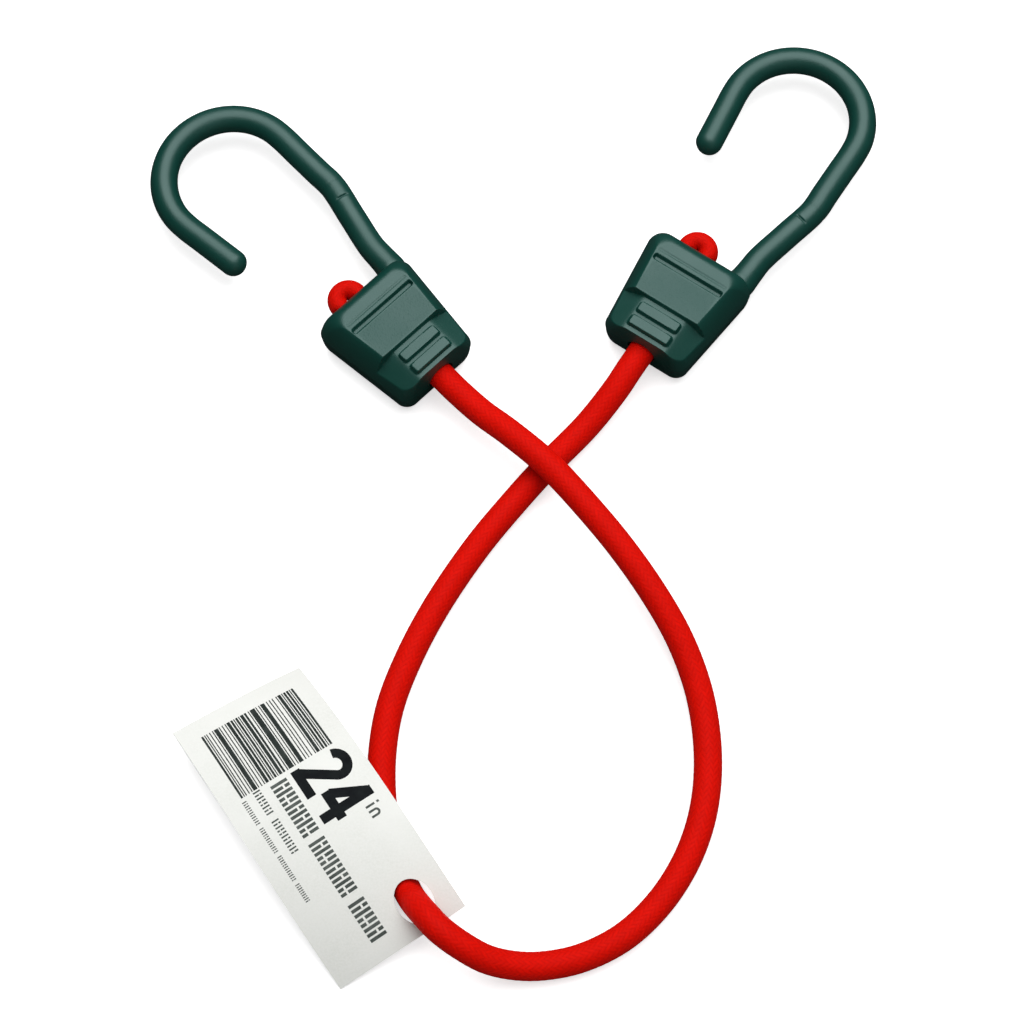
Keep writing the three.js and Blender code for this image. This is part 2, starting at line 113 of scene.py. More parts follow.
class Upright(Enum):
    """Inked spans of a printed upright, as shares of its height."""

    WHOLE = ((0.0, 1.0),)
    LOW_GAP = ((0.0, 0.34), (0.46, 1.0))
    HIGH_GAP = ((0.0, 0.58), (0.7, 1.0))


# Curves and sections


def smoothstep(low: float, high: float, value: Array) -> Array:
    """Cubic ease from 0 at low to 1 at high.

    Args:
        low: Value where the ease starts.
        high: Value where it ends.
        value: Numbers to ease.

    Returns:
        3 t squared minus 2 t cubed, with t the clipped share of the way.
    """
    share = np.clip((value - low) / (high - low), 0.0, 1.0)
    return share * share * (3.0 - 2.0 * share)


def squared_off(value: Array, power: float) -> Array:
    """Numbers from -1 to 1 raised to a power under 1, each with its own sign."""
    return np.sign(value) * np.abs(value) ** power


def rounded_box(x: Array, y: Array, half_x: float, half_y: float, radius: float) -> Array:
    """Signed distance to a rectangle with round corners about the origin, negative inside.

    Args:
        x: Places across.
        y: Places along.
        half_x: Half the rectangle's width.
        half_y: Half its length.
        radius: Radius of its corners.

    Returns:
        Distances, of the shape of x and y.
    """
    dx = np.abs(x) - half_x + radius
    dy = np.abs(y) - half_y + radius
    outside = np.hypot(np.maximum(dx, 0.0), np.maximum(dy, 0.0))
    return outside + np.minimum(np.maximum(dx, dy), 0.0) - radius


def smooth_line(points: Array, per_span: int = 32) -> Array:
    """Centripetal Catmull-Rom curve through points, with its end spans mirrored outwards.

    Each span is a cubic Hermite piece whose end slopes come from the four points about it, with knots
    spaced by the square root of the distance between points.

    Args:
        points: One point a row.
        per_span: Points worked out on each span.

    Returns:
        Dense points along the curve.
    """
    reach = np.vstack([2 * points[0] - points[1], points, 2 * points[-1] - points[-2]])
    p0, p1, p2, p3 = reach[:-3], reach[1:-2], reach[2:-1], reach[3:]
    pairs = ((p0, p1), (p1, p2), (p2, p3))
    k0, k1, k2 = (np.sqrt(np.linalg.norm(b - a, axis=1))[:, None] for a, b in pairs)
    slope1 = k1 * ((p1 - p0) / k0 - (p2 - p0) / (k0 + k1) + (p2 - p1) / k1)
    slope2 = k1 * ((p2 - p1) / k1 - (p3 - p1) / (k1 + k2) + (p3 - p2) / k2)
    t = np.linspace(0.0, 1.0, per_span, endpoint=False)[None, :, None]
    cubic = 2 * p1 - 2 * p2 + slope1 + slope2
    square = -3 * p1 + 3 * p2 - 2 * slope1 - slope2
    spans = p1[:, None] + slope1[:, None] * t + square[:, None] * t**2 + cubic[:, None] * t**3
    return np.vstack([spans.reshape(-1, 3), points[-1]])


def straight(first: Pair, last: Pair, count: int = 14) -> Array:
    """Points on a straight line in a plane, ends included."""
    return np.linspace(first, last, count)


def arc(centre: Pair, radii: Pair, start: float, stop: float, count: int = 36) -> Array:
    """Points on an ellipse in a plane, from one angle in degrees to another."""
    angle = np.radians(np.linspace(start, stop, count))
    return np.array(centre) + np.stack([np.cos(angle), np.sin(angle)], axis=1) * radii


def level(points: Array, height: float) -> Array:
    """Points of a plane, all at one height."""
    return np.column_stack([points, np.full(len(points), height)])


def round_section(columns: int) -> Array:
    """Cosines and sines of a full turn in equal steps, as two rows."""
    angle = np.arange(columns) / columns * FULL_TURN
    return np.stack([np.cos(angle), np.sin(angle)])


@dataclass
class Path:
    """A dense line of points and the distance run to each."""

    points: Array
    reach: float = 0.0003
    run: Array = field(init=False)

    def __post_init__(self) -> None:
        """Add up the lengths of the line's pieces."""
        steps = np.linalg.norm(np.diff(self.points, axis=0), axis=1)
        self.run = np.concatenate([[0.0], np.cumsum(steps)])

    @property
    def length(self) -> float:
        """Length of the whole line."""
        return float(self.run[-1])

    def at(self, distance: Array) -> Array:
        """Points at distances along the line."""
        return np.stack([np.interp(distance, self.run, self.points[:, axis]) for axis in range(3)], axis=-1)

    def along(self, distance: Array) -> Array:
        """Unit directions at distances along the line, from points a short reach before and after."""
        after, before = np.minimum(distance + self.reach, self.length), np.maximum(distance - self.reach, 0.0)
        return normalised(self.at(after) - self.at(before))

    def frames(self, distance: Array) -> tuple[Array, Array, Array]:
        """Centres, side and upward directions of level sections along the line.

        Args:
            distance: Distances along the line, which is nowhere upright.

        Returns:
            Points, and two unit directions square to the line; side crossed with upward runs along it.
        """
        forward = self.along(distance)
        upward = normalised(UP - forward * (forward @ UP)[..., None])
        return self.at(distance), np.cross(upward, forward), upward


def normalised(vectors: Array) -> Array:
    """Vectors of length one in the same directions."""
    return vectors / np.linalg.norm(vectors, axis=-1, keepdims=True)


def sweep(path: Path, distance: Array, wide: Array | float, high: Array | float, columns: int) -> Array:
    """Sections of a tube along a path.

    The point at angle a of a section is centre + wide cos(a) side + high sin(a) upward.

    Args:
        path: Centreline.
        distance: Where the sections stand.
        wide: Half widths: one, one a column, one a section, or sections by columns.
        high: Half heights in the same way.
        columns: Points of a section.

    Returns:
        Sections by columns by three.
    """
    centre, side, upward = path.frames(distance)
    cosine, sine = round_section(columns)
    out = (wide * cosine)[..., None] * side[:, None] + (high * sine)[..., None] * upward[:, None]
    return centre[:, None] + out


# Meshes


class Shell:
    """Gathers grids of points into one mesh, with a UV map where a grid brings one."""

    def __init__(self) -> None:
        """Start with nothing."""
        self.points: list[Array] = []
        self.faces: list[Array] = []
        self.maps: list[Array] = []
        self.count = 0

    def _keep(self, points: Array) -> Array:
        """Store points.

        Args:
            points: Points in any layout, with their coordinates last.

        Returns:
            Their numbers in the same layout.
        """
        numbers = self.count + np.arange(points[..., 0].size).reshape(points.shape[:-1])
        self.points.append(points.reshape(-1, 3))
        self.count += numbers.size
        return numbers

    def _face(self, faces: Array, maps: Array | None = None) -> None:
        """Store faces of one corner count, with UVs for each corner or zeros."""
        self.faces.append(faces)
        self.maps.append(np.zeros((*faces.shape, 2)) if maps is None else maps)

    def _quads(self, numbers: Array, flip: bool = False, uv: Array | None = None) -> None:
        """Add the quads between the neighbours in a grid of point numbers.

        Args:
            numbers: Rows by columns.
            flip: Turn the faces over.
            uv: Rows by columns by two, or None.
        """
        ends = slice(None, -1), slice(1, None)
        corners = ((0, 0), (0, 1), (1, 1), (1, 0))
        cuts = [(ends[row], ends[column]) for row, column in (corners[::-1] if flip else corners)]
        maps = None if uv is None else np.stack([uv[cut] for cut in cuts], axis=-2).reshape(-1, 4, 2)
        self._face(np.stack([numbers[cut] for cut in cuts], axis=-1).reshape(-1, 4), maps)

    def grid(
        self, points: Array, flip: bool = False, uv: Array | None = None, form: Form = Form.TUBE
    ) -> Array:
        """Add a grid whose rows run round a shape, joined row to row.

        Args:
            points: Rows by columns by three.
            flip: Turn the faces over, for an inner wall.
            uv: Rows by columns plus one by two, or None.
            form: What the grid closes to.

        Returns:
            The numbers of the points, rows by columns.
        """
        numbers = self._keep(points)
        closed = numbers
        if form is not Form.SHEET:
            closed = np.concatenate([closed, closed[:, :1]], axis=1)
        if form is Form.TORUS:
            closed = np.concatenate([closed, closed[:1]], axis=0)
        self._quads(closed, flip, uv)
        return numbers

    def bridge(self, first: Array, second: Array) -> None:
        """Join two rings of point numbers of equal count, from the first to the second."""
        rings = np.stack([first, second])
        self._quads(np.concatenate([rings, rings[:, :1]], axis=1))

    def fan(self, ring: Array, centre: Array, flip: bool = False) -> None:
        """Close a ring with triangles to a new centre point.

        Args:
            ring: Point numbers.
            centre: The new point.
            flip: Turn the faces over.
        """
        middle = np.full(len(ring), self._keep(np.asarray(centre, float)[None])[0])
        pair = (np.roll(ring, -1), ring) if flip else (ring, np.roll(ring, -1))
        self._face(np.stack([*pair, middle], axis=-1))

    def capped(self, rings: Array) -> None:
        """Add a closed tube of rings, with a fan over the middle of the first and of the last.

        Args:
            rings: Rings by columns by three.
        """
        numbers = self.grid(rings)
        self.fan(numbers[0], rings[0].mean(0), flip=True)
        self.fan(numbers[-1], rings[-1].mean(0))

    def mesh(self, name: str, sharp: float = SHARP_EDGE) -> Mesh:
        """Make the mesh, smooth but for edges that turn by more than an angle.

        Args:
            name: Name of the mesh.
            sharp: Degrees.

        Returns:
            The mesh.
        """
        mesh = bpy.data.meshes.new(name)
        loops = np.concatenate([faces.ravel() for faces in self.faces])
        sizes = np.concatenate([np.full(len(faces), faces.shape[1]) for faces in self.faces])
        starts = np.concatenate([[0], np.cumsum(sizes)[:-1]])
        maps = np.concatenate([uv.reshape(-1, 2) for uv in self.maps])
        mesh.vertices.add(self.count)
        mesh.vertices.foreach_set("co", np.concatenate(self.points).astype(np.float32).ravel())
        mesh.loops.add(len(loops))
        mesh.loops.foreach_set("vertex_index", loops.astype(np.int32))
        mesh.polygons.add(len(sizes))
        mesh.polygons.foreach_set("loop_start", starts.astype(np.int32))
        layer = mesh.uv_layers.new(name="surface")
        layer.data.foreach_set("uv", maps.astype(np.float32).ravel())
        mesh.update(calc_edges=True)
        mesh.validate()
        finish_normals(mesh, sharp)
        return mesh

    def build(self, name: str, sharp: float = SHARP_EDGE) -> Piece:
        """Make the mesh and an object at the origin that shows it."""
        return show(name, self.mesh(name, sharp))


def finish_normals(mesh: Mesh, sharp: float) -> None:
    """Shade a mesh smooth, apart from edges that turn by more than sharp degrees."""
    mesh.shade_smooth()
    mesh.set_sharp_from_angle(angle=np.radians(sharp))


def show(name: str, data: bpy.types.ID) -> Piece:
    """Link a new object at the origin.

    Args:
        name: Its name.
        data: The mesh, lamp or camera that it holds.

    Returns:
        The object.
    """
    piece = bpy.data.objects.new(name, data)
    bpy.context.scene.collection.objects.link(piece)
    return piece


def work(target: Piece, tool: Piece, way: Solid) -> None:
    """Join a solid to another, or cut it away, and remove it.

    Args:
        target: Piece that changes.
        tool: Solid that is used up.
        way: Join or cut.
    """
    modifier = target.modifiers.new(way.name, "BOOLEAN")
    modifier.operation = way.value
    modifier.solver = "EXACT"
    modifier.object = tool
    graph = bpy.context.evaluated_depsgraph_get()
    made = bpy.data.meshes.new_from_object(target.evaluated_get(graph))
    target.modifiers.clear()
    spent = [target.data, tool.data]
    target.data = made
    bpy.data.objects.remove(tool)
    for mesh in spent:
        bpy.data.meshes.remove(mesh)


def closed_tube(name: str, rings: Array) -> Piece:
    """Object that shows a closed tube of rings.

    Args:
        name: Its name.
        rings: Rings by columns by three.

    Returns:
        The solid.
    """
    shell = Shell()
    shell.capped(rings)
    return shell.build(name)


# Shader graphs


class Graph:
    """Short hand for adding and joining shader nodes in a tree."""

    def __init__(self, tree: Tree) -> None:
        """Work on a tree."""
        self.tree = tree

    def join(self, node: Node, sockets: dict[str | int, object]) -> Node:
        """Join inputs of a node to sockets, or set their constants.

        Args:
            node: The node.
            sockets: Input name or place to a constant or to a socket to join.

        Returns:
            The same node.
        """
        for key, value in sockets.items():
            if isinstance(value, Socket):
                self.tree.links.new(value, node.inputs[key])
            else:
                node.inputs[key].default_value = value
        return node

    def node(self, kind: str, sockets: dict[str | int, object] | None = None, **settings: object) -> Node:
        """Add a node.

        Args:
            kind: Blender's node type, without its ShaderNode prefix.
            sockets: Input name or place to a constant or to a socket to join.
            settings: The node's own settings.

        Returns:
            The node.
        """
        made = self.tree.nodes.new(kind if kind.startswith("NodeGroup") else f"ShaderNode{kind}")
        for name, value in settings.items():
            setattr(made, name, value)
        return self.join(made, sockets or {})

    def math(self, operation: str, *values: object) -> Socket:
        """Result of a math node on one to three values."""
        return self.node("Math", dict(enumerate(values)), operation=operation).outputs[0]

    def mix(self, factor: object, first: object, second: object, blend: str = "MIX") -> Socket:
        """Colour between two colours, which are inputs 6 and 7 of the Mix node and its output 2."""
        sockets = {0: factor, 6: first, 7: second}
        return self.node("Mix", sockets, data_type="RGBA", blend_type=blend).outputs[2]

    def choose(self, factor: Socket, first: Socket, second: Socket) -> Socket:
        """The first value where the factor is 0, and the second where it is 1."""
        return self.node("Mix", {0: factor, 2: first, 3: second}).outputs[0]

    def remap(self, value: object, span: Pair, to: Pair = (0.0, 1.0)) -> Socket:
        """Value moved from one span to another, clamped."""
        return self.node("MapRange", dict(enumerate((value, *span, *to)))).outputs[0]

    def spread(self, share: object, to: Pair) -> Socket:
        """Share from 0 to 1 moved to a span."""
        return self.remap(share, (0.0, 1.0), to)

    def noise(self, vector: object, scale: object, detail: float) -> Socket:
        """Grey noise of about one over scale metres in size."""
        return self.node("TexNoise", {"Vector": vector, "Scale": scale, "Detail": detail}).outputs[0]

    def bump(self, height: object, depth: float, strength: float) -> Socket:
        """Normal of a height between 0 and 1 that is depth metres high."""
        return self.node("Bump", {"Height": height, "Distance": depth, "Strength": strength}).outputs[0]

    def place(self) -> Socket:
        """Object coordinates."""
        return self.node("TexCoord").outputs["Object"]


class Group(Graph):
    """Graph of a new shader node group, whose outputs are all values."""

    def __init__(self, name: str, inputs: dict[str, str], outputs: tuple[str, ...]) -> None:
        """Start a group.

        Args:
            name: The group's name.
            inputs: Socket types by name.
            outputs: Names of its values.
        """
        super().__init__(bpy.data.node_groups.new(name, "ShaderNodeTree"))
        for label, kind in inputs.items():
            self.tree.interface.new_socket(label, in_out="INPUT", socket_type=kind)
        for label in outputs:
            self.tree.interface.new_socket(label, in_out="OUTPUT", socket_type="NodeSocketFloat")
        self.given = self.node("NodeGroupInput").outputs

    def finish(self, values: dict[str, Socket]) -> Tree:
        """Join the group's outputs and return its tree."""
        self.node("NodeGroupOutput", values)
        return self.tree


class Surface(Graph):
    """Graph of a new material, which ends in its Principled node."""

    def __init__(self, name: str) -> None:
        """Start a material.

        Args:
            name: The material's name.
        """
        self.material = bpy.data.materials.new(name)
        self.material.use_nodes = True
        super().__init__(self.material.node_tree)

    def grain(self, tree: Tree, scales: Pair) -> tuple[Socket, Socket]:
        """Pits and tone of the shared grain, at a fine and a broad scale.

        Args:
            tree: The grain's node group.
            scales: Marks to the metre, fine and broad.

        Returns:
            Two values from 0 to 1.
        """
        sockets = {"Vector": self.place(), "Fine": scales[0], "Broad": scales[1]}
        made = self.node("Group", sockets, node_tree=tree)
        return made.outputs["Pits"], made.outputs["Tone"]

    def finish(self, sockets: dict[str, object]) -> Material:
        """Join or set inputs of the Principled node, and return the material."""
        self.join(self.tree.nodes["Principled BSDF"], sockets)
        return self.material


def grain_group() -> Tree:
    """Grain of a moulded or pressed surface.

    Returns:
        Group from a place and two scales to fine pits and to slow changes of tone. Both are noise with its
        contrast raised.
    """
    number, contrast = "NodeSocketFloat", (0.3, 0.7)
    inputs = {"Vector": "NodeSocketVector", "Fine": number, "Broad": number}
    group = Group("surface_grain", inputs, ("Pits", "Tone"))
    values = {}
    for output, scale, detail in (("Pits", "Fine", 2.0), ("Tone", "Broad", 4.0)):
        values[output] = group.remap(group.noise(group.given["Vector"], group.given[scale], detail), contrast)
    return group.finish(values)


# Finishes


@dataclass(frozen=True)
class Braid:
    """Two-over, two-under tubular braid, the same in the cord's mesh and in its finish."""

    yarns: int = 20
    lead: float = 0.034
    relief: float = 0.00008
    wave: float = 0.35
    threads: int = 6
    family_gap: float = 300.0
    inner_every: int = 4
    sharp: float = 75.0

    def height(self, turn: Array, distance: Array) -> Array:
        """Depth of the braid under its crests.

        A yarn's crown is the root of the sine across it. Along it the yarn rises and dips in a cosine over
        four crossings, against the other family's. The higher of the two families is the surface.

        Args:
            turn: Places round the cord, in turns.
            distance: Places along it.

        Returns:
            Heights, 0 on the crests and minus the relief at the bottom.
        """
        right = self.yarns * (turn + distance / self.lead)
        left = self.yarns * (turn - distance / self.lead)
        quarter = np.pi / 2
        rise = 1.0 + self.wave * np.cos(quarter * (left + np.floor(right)))
        dip = 1.0 - self.wave * np.cos(quarter * (right + np.floor(left)))
        families = ((right, rise), (left, dip))
        crown = np.maximum(*(np.sqrt(np.abs(np.sin(np.pi * own))) * bulge for own, bulge in families))
        return self.relief * (crown / (1.0 + self.wave) - 1.0)

    def cover(
        self, path: Path, rows: Array, inside: Array, outer: Halves, inner: Halves, columns: int
    ) -> Shell:
        """Braided tube along a path, with its inner wall.

        The braid's depth is taken off the half width and the half height of each outer section.

        Args:
            path: Centreline.
            rows: Where the outer sections stand.
            inside: Where the inner sections stand.
            outer: Half width and half height of the outer sections.
            inner: The same for the inner sections.
            columns: Points of a section.

        Returns:
            The closed shell, with turns and leads in its UV map.
        """
        lap = np.arange(columns + 1) / columns
        depth = self.height(lap[None, :-1], rows[:, None])
        uv = np.stack(np.broadcast_arrays(lap[None], rows[:, None] / self.lead), axis=-1)
        shell = Shell()
        crests = shell.grid(sweep(path, rows, outer[0] + depth, outer[1] + depth, columns), uv=uv)
        wall = shell.grid(sweep(path, inside, *inner, columns), flip=True)
        shell.bridge(wall[0], crests[0])
        shell.bridge(crests[-1], wall[-1])
        return shell

    def group(self) -> Tree:
        """The same braid as a node group, with each yarn's threads.

        Returns:
            Group from a UV of turns and leads to crown, threads and a number for each yarn.
        """
        group = Group("braid_yarns", {"UV": "NodeSocketVector"}, ("Crown", "Threads", "Yarn"))
        turn, leads = group.node("SeparateXYZ", {0: group.given["UV"]}).outputs[:2]
        slants = [group.math(way, turn, leads) for way in ("ADD", "SUBTRACT")]
        lines = [group.math("MULTIPLY", slant, self.yarns) for slant in slants]
        families = []
        for own, cross, sign in ((*lines, 1.0), (*lines[::-1], -1.0)):
            yarn = group.math("FLOOR", own)
            phase = group.math("MULTIPLY", group.math("ADD", cross, yarn), np.pi / 2)
            rise = group.math("MULTIPLY_ADD", group.math("COSINE", phase), sign * self.wave, 1.0)
            across = group.math("ABSOLUTE", group.math("SINE", group.math("MULTIPLY", own, np.pi)))
            crown = group.math("MULTIPLY", group.math("SQRT", across), rise)
            number = group.math("ADD", yarn, sign * self.family_gap)
            families.append((crown, group.math("FRACT", own), number))
        (first, share1, yarn1), (second, share2, yarn2) = families
        over = group.math("GREATER_THAN", first, second)
        share, number = group.choose(over, share2, share1), group.choose(over, yarn2, yarn1)
        threads = group.math("SINE", group.math("MULTIPLY", share, self.threads * FULL_TURN))
        loose = group.node("TexWhiteNoise", {"W": number}, noise_dimensions="1D").outputs[0]
        crown = group.math("DIVIDE", group.math("MAXIMUM", first, second), 1.0 + self.wave)
        return group.finish({"Crown": crown, "Threads": threads, "Yarn": loose})


@dataclass(frozen=True)
class BraidFinish:
    """Bright red woven yarn."""

    crest: Colour = (0.78, 0.0052, 0.0009, 1.0)
    # Painted shade: the yarn's colour darkened for where the grooves between yarns lie in shade.
    groove: Colour = (0.65, 0.0035, 0.0006, 1.0)
    nap: Colour = (1.0, 0.012, 0.006, 1.0)
    scales: Pair = (5200.0, 90.0)
    groove_shade_span: Pair = (0.35, 0.95)
    yarn_shade: Pair = (0.92, 1.0)
    tone_shade: Pair = (0.93, 1.0)
    thread_share: float = 0.6
    fuzz_share: float = 0.5
    bump: Pair = (0.00004, 0.7)
    rough: Pair = (0.46, 0.58)
    specular: float = 0.045
    sheen: Pair = (0.35, 0.6)

    def material(self, braid: Tree, grain: Tree) -> Material:
        """Yarn colour with painted shade in the grooves between yarns, with threads and a soft fuzz.

        Args:
            braid: The braid's node group.
            grain: The grain's node group.

        Returns:
            The material.
        """
        surface = Surface("red_braid")
        uv = surface.node("UVMap", uv_map="surface").outputs[0]
        yarns = surface.node("Group", {"UV": uv}, node_tree=braid).outputs
        pits, tone = surface.grain(grain, self.scales)
        # Painted shade: the colour falls from the crest colour to the darker groove colour where the braid's
        # crown is low.
        colour = surface.mix(surface.remap(yarns["Crown"], self.groove_shade_span), self.groove, self.crest)
        shades = surface.spread(yarns["Yarn"], self.yarn_shade), surface.spread(tone, self.tone_shade)
        worn = surface.math("MULTIPLY", *shades)
        tint = surface.node("CombineXYZ", {0: worn, 1: worn, 2: worn}).outputs[0]
        threads = surface.remap(yarns["Threads"], (-1.0, 1.0), (0.0, self.thread_share))
        height = surface.math("ADD", threads, surface.math("MULTIPLY", pits, self.fuzz_share))
        return surface.finish({
            "Base Color": surface.mix(1.0, colour, tint, "MULTIPLY"),
            "Normal": surface.bump(height, *self.bump),
            "Roughness": surface.spread(tone, self.rough),
            "Specular IOR Level": self.specular,
            "Sheen Weight": self.sheen[0],
            "Sheen Roughness": self.sheen[1],
            "Sheen Tint": self.nap,
        })


@dataclass(frozen=True)
class PlasticFinish:
    """Dark green moulded plastic with a satin skin."""

    base: Colour = (0.0010, 0.046, 0.034, 1.0)
    pale: Colour = (0.0018, 0.055, 0.042, 1.0)
    sheen: Colour = (0.78, 1.0, 0.98, 1.0)
    scales: Pair = (2600.0, 70.0)
    stipple_scale: float = 1500.0
    dot_span: Pair = (0.1, 0.55)
    tone_share: float = 0.6
    pit_share: float = 0.25
    bump: Pair = (0.00006, 0.6)
    rough: Pair = (0.37, 0.45)
    stipple_rough: float = 0.08
    specular: float = 0.74

    def material(self, grain: Tree) -> Material:
        """Satin green with fine pits, scuffs and a stippled field where the mesh has one.

        Args:
            grain: The grain's node group.

        Returns:
            The material.
        """
        surface = Surface("green_plastic")
        pits, tone = surface.grain(grain, self.scales)
        stipple = surface.node("Attribute", attribute_name="stipple").outputs["Fac"]
        cells = surface.node("TexVoronoi", {"Vector": surface.place(), "Scale": self.stipple_scale})
        dots = surface.remap(cells.outputs["Distance"], self.dot_span, (1.0, 0.0))
        dots = surface.math("MULTIPLY", dots, stipple)
        height = surface.math("ADD", surface.math("MULTIPLY", pits, self.pit_share), dots)
        gloss = surface.spread(tone, self.rough)
        return surface.finish({
            "Base Color": surface.mix(surface.math("MULTIPLY", tone, self.tone_share), self.base, self.pale),
            "Normal": surface.bump(height, *self.bump),
            "Roughness": surface.math("MULTIPLY_ADD", stipple, self.stipple_rough, gloss),
            "Specular IOR Level": self.specular,
            "Specular Tint": self.sheen,
        })


@dataclass(frozen=True)
class CardFinish:
    """White coated card with faint fibres and handling marks."""

    card: Colour = (0.81, 0.82, 0.785, 1.0)
    fibre: Colour = (0.74, 0.755, 0.71, 1.0)
    scales: Pair = (1900.0, 60.0)
    bump: Pair = (0.00001, 0.5)
    rough: Pair = (0.42, 0.55)

    def material(self, grain: Tree) -> Material:
        """Card whose fibres show where pits and tone meet.

        Args:
            grain: The grain's node group.

        Returns:
            The material.
        """
        surface = Surface("white_card")
        pits, tone = surface.grain(grain, self.scales)
        return surface.finish({
            "Base Color": surface.mix(surface.math("MULTIPLY", pits, tone), self.card, self.fibre),
            "Normal": surface.bump(pits, *self.bump),
            "Roughness": surface.spread(tone, self.rough),
        })


@dataclass(frozen=True)
class GrainFinish:
    """A colour that wears to another by the grain's tone, roughened by its pits."""

    name: str
    full: Colour
    worn: Colour
    scales: Pair
    rough: Pair
    bump: Pair | None = None
    metallic: float = 0.0
    specular: float = 0.5

    def material(self, grain: Tree) -> Material:
        """Make the finish.

        Args:
            grain: The grain's node group.

        Returns:
            The material.
        """
        surface = Surface(self.name)
        pits, tone = surface.grain(grain, self.scales)
        sockets = {
            "Base Color": surface.mix(tone, self.full, self.worn),
            "Roughness": surface.spread(pits, self.rough),
            "Metallic": self.metallic,
            "Specular IOR Level": self.specular,
        }
        if self.bump:
            sockets["Normal"] = surface.bump(pits, *self.bump)
        return surface.finish(sockets)


@dataclass(frozen=True)
class InkFinish(GrainFinish):
    """Printing ink that thins a little over the card's fibres."""

    scales: Pair = (2400.0, 300.0)
    rough: Pair = (0.45, 0.65)
    specular: float = 0.05


@dataclass(frozen=True)
class MetalFinish(GrainFinish):
    """Drawn or pressed metal whose tone and gloss change with its marks."""

    scales: Pair = (3400.0, 420.0)
    rough: Pair = (0.3, 0.42)
    bump: Pair | None = (0.00001, 0.4)
    metallic: float = 1.0


@dataclass(frozen=True)
class LatexFinish(GrainFinish):
    """Chalky latex of the cord's core."""

    name: str = "latex"
    full: Colour = (0.72, 0.60, 0.38, 1.0)
    worn: Colour = (0.55, 0.43, 0.25, 1.0)
    scales: Pair = (2200.0, 240.0)
    rough: Pair = (0.7, 0.9)
    bump: Pair | None = (0.00002, 0.5)


@dataclass
class Finishes:
    """Every material of the part, made once."""

    braid: Braid
    black_ink: InkFinish = InkFinish("black_ink", (0.004, 0.005, 0.007, 1.0), (0.010, 0.013, 0.014, 1.0))
    bar_ink: InkFinish = InkFinish("bar_ink", (0.016, 0.022, 0.020, 1.0), (0.040, 0.050, 0.046, 1.0))
    grey_ink: InkFinish = InkFinish("grey_ink", (0.060, 0.072, 0.066, 1.0), (0.12, 0.135, 0.125, 1.0))
    wire: MetalFinish = MetalFinish("drawn_steel", (0.42, 0.43, 0.44, 1.0), (0.26, 0.27, 0.28, 1.0))
    crimp: MetalFinish = MetalFinish(
        "ferrule_alloy", (0.62, 0.63, 0.65, 1.0), (0.4, 0.41, 0.43, 1.0), rough=(0.32, 0.44)
    )

    def __post_init__(self) -> None:
        """Build the shared groups and the materials."""
        grain = grain_group()
        self.cover = BraidFinish().material(self.braid.group(), grain)
        self.plastic = PlasticFinish().material(grain)
        self.card = CardFinish().material(grain)
        self.ink = self.black_ink.material(grain)
        self.bars = self.bar_ink.material(grain)
        self.grey = self.grey_ink.material(grain)
        self.latex = LatexFinish().material(grain)
        self.steel = self.wire.material(grain)
        self.alloy = self.crimp.material(grain)


def dress(piece: Piece, material: Material, slot: Slot, *nodes: str) -> None:
    """Give a piece its material, and hide the CAD nodes that it stands for.

    Args:
        piece: The piece.
        material: Its finish.
        slot: Not used.
        nodes: CAD nodes that it replaces.
    """
    piece.data.materials.clear()
    piece.data.materials.append(material)
    if nodes:
        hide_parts(*nodes)
    LOG.info("%s: %d faces", piece.name, len(piece.data.polygons))


# Hooks


@dataclass(frozen=True)
class HookPlace:
    """Where a hook lies: the middle of its block's mouth on the plane, and the turn of its axis from +Y."""

    side: Side
    mouth: Pair
    turn: float

    @property
    def matrix(self) -> Matrix:
        """From the hook's own frame to the part's."""
        return Matrix.Translation((*self.mouth, 0.0)) @ Matrix.Rotation(np.radians(self.turn), 4, "Z")

    def name(self, piece: str) -> str:
        """A piece's name at this end."""
        return f"{self.side.value}_{piece}"

    def stand(self, name: str, mesh: Mesh) -> Piece:
        """Show a copy of a mesh at this end.

        Args:
            name: Name of the copy.
            mesh: Mesh in the hook's own frame.

        Returns:
            The piece.
        """
        copy = mesh.copy()
        copy.name = name
        copy.transform(self.matrix)
        return show(name, copy)


PLACES = (
    HookPlace(Side.LEFT, (-0.0193, 0.032), 44.0),
    HookPlace(Side.RIGHT, (0.0332, 0.0385), -33.5),
)


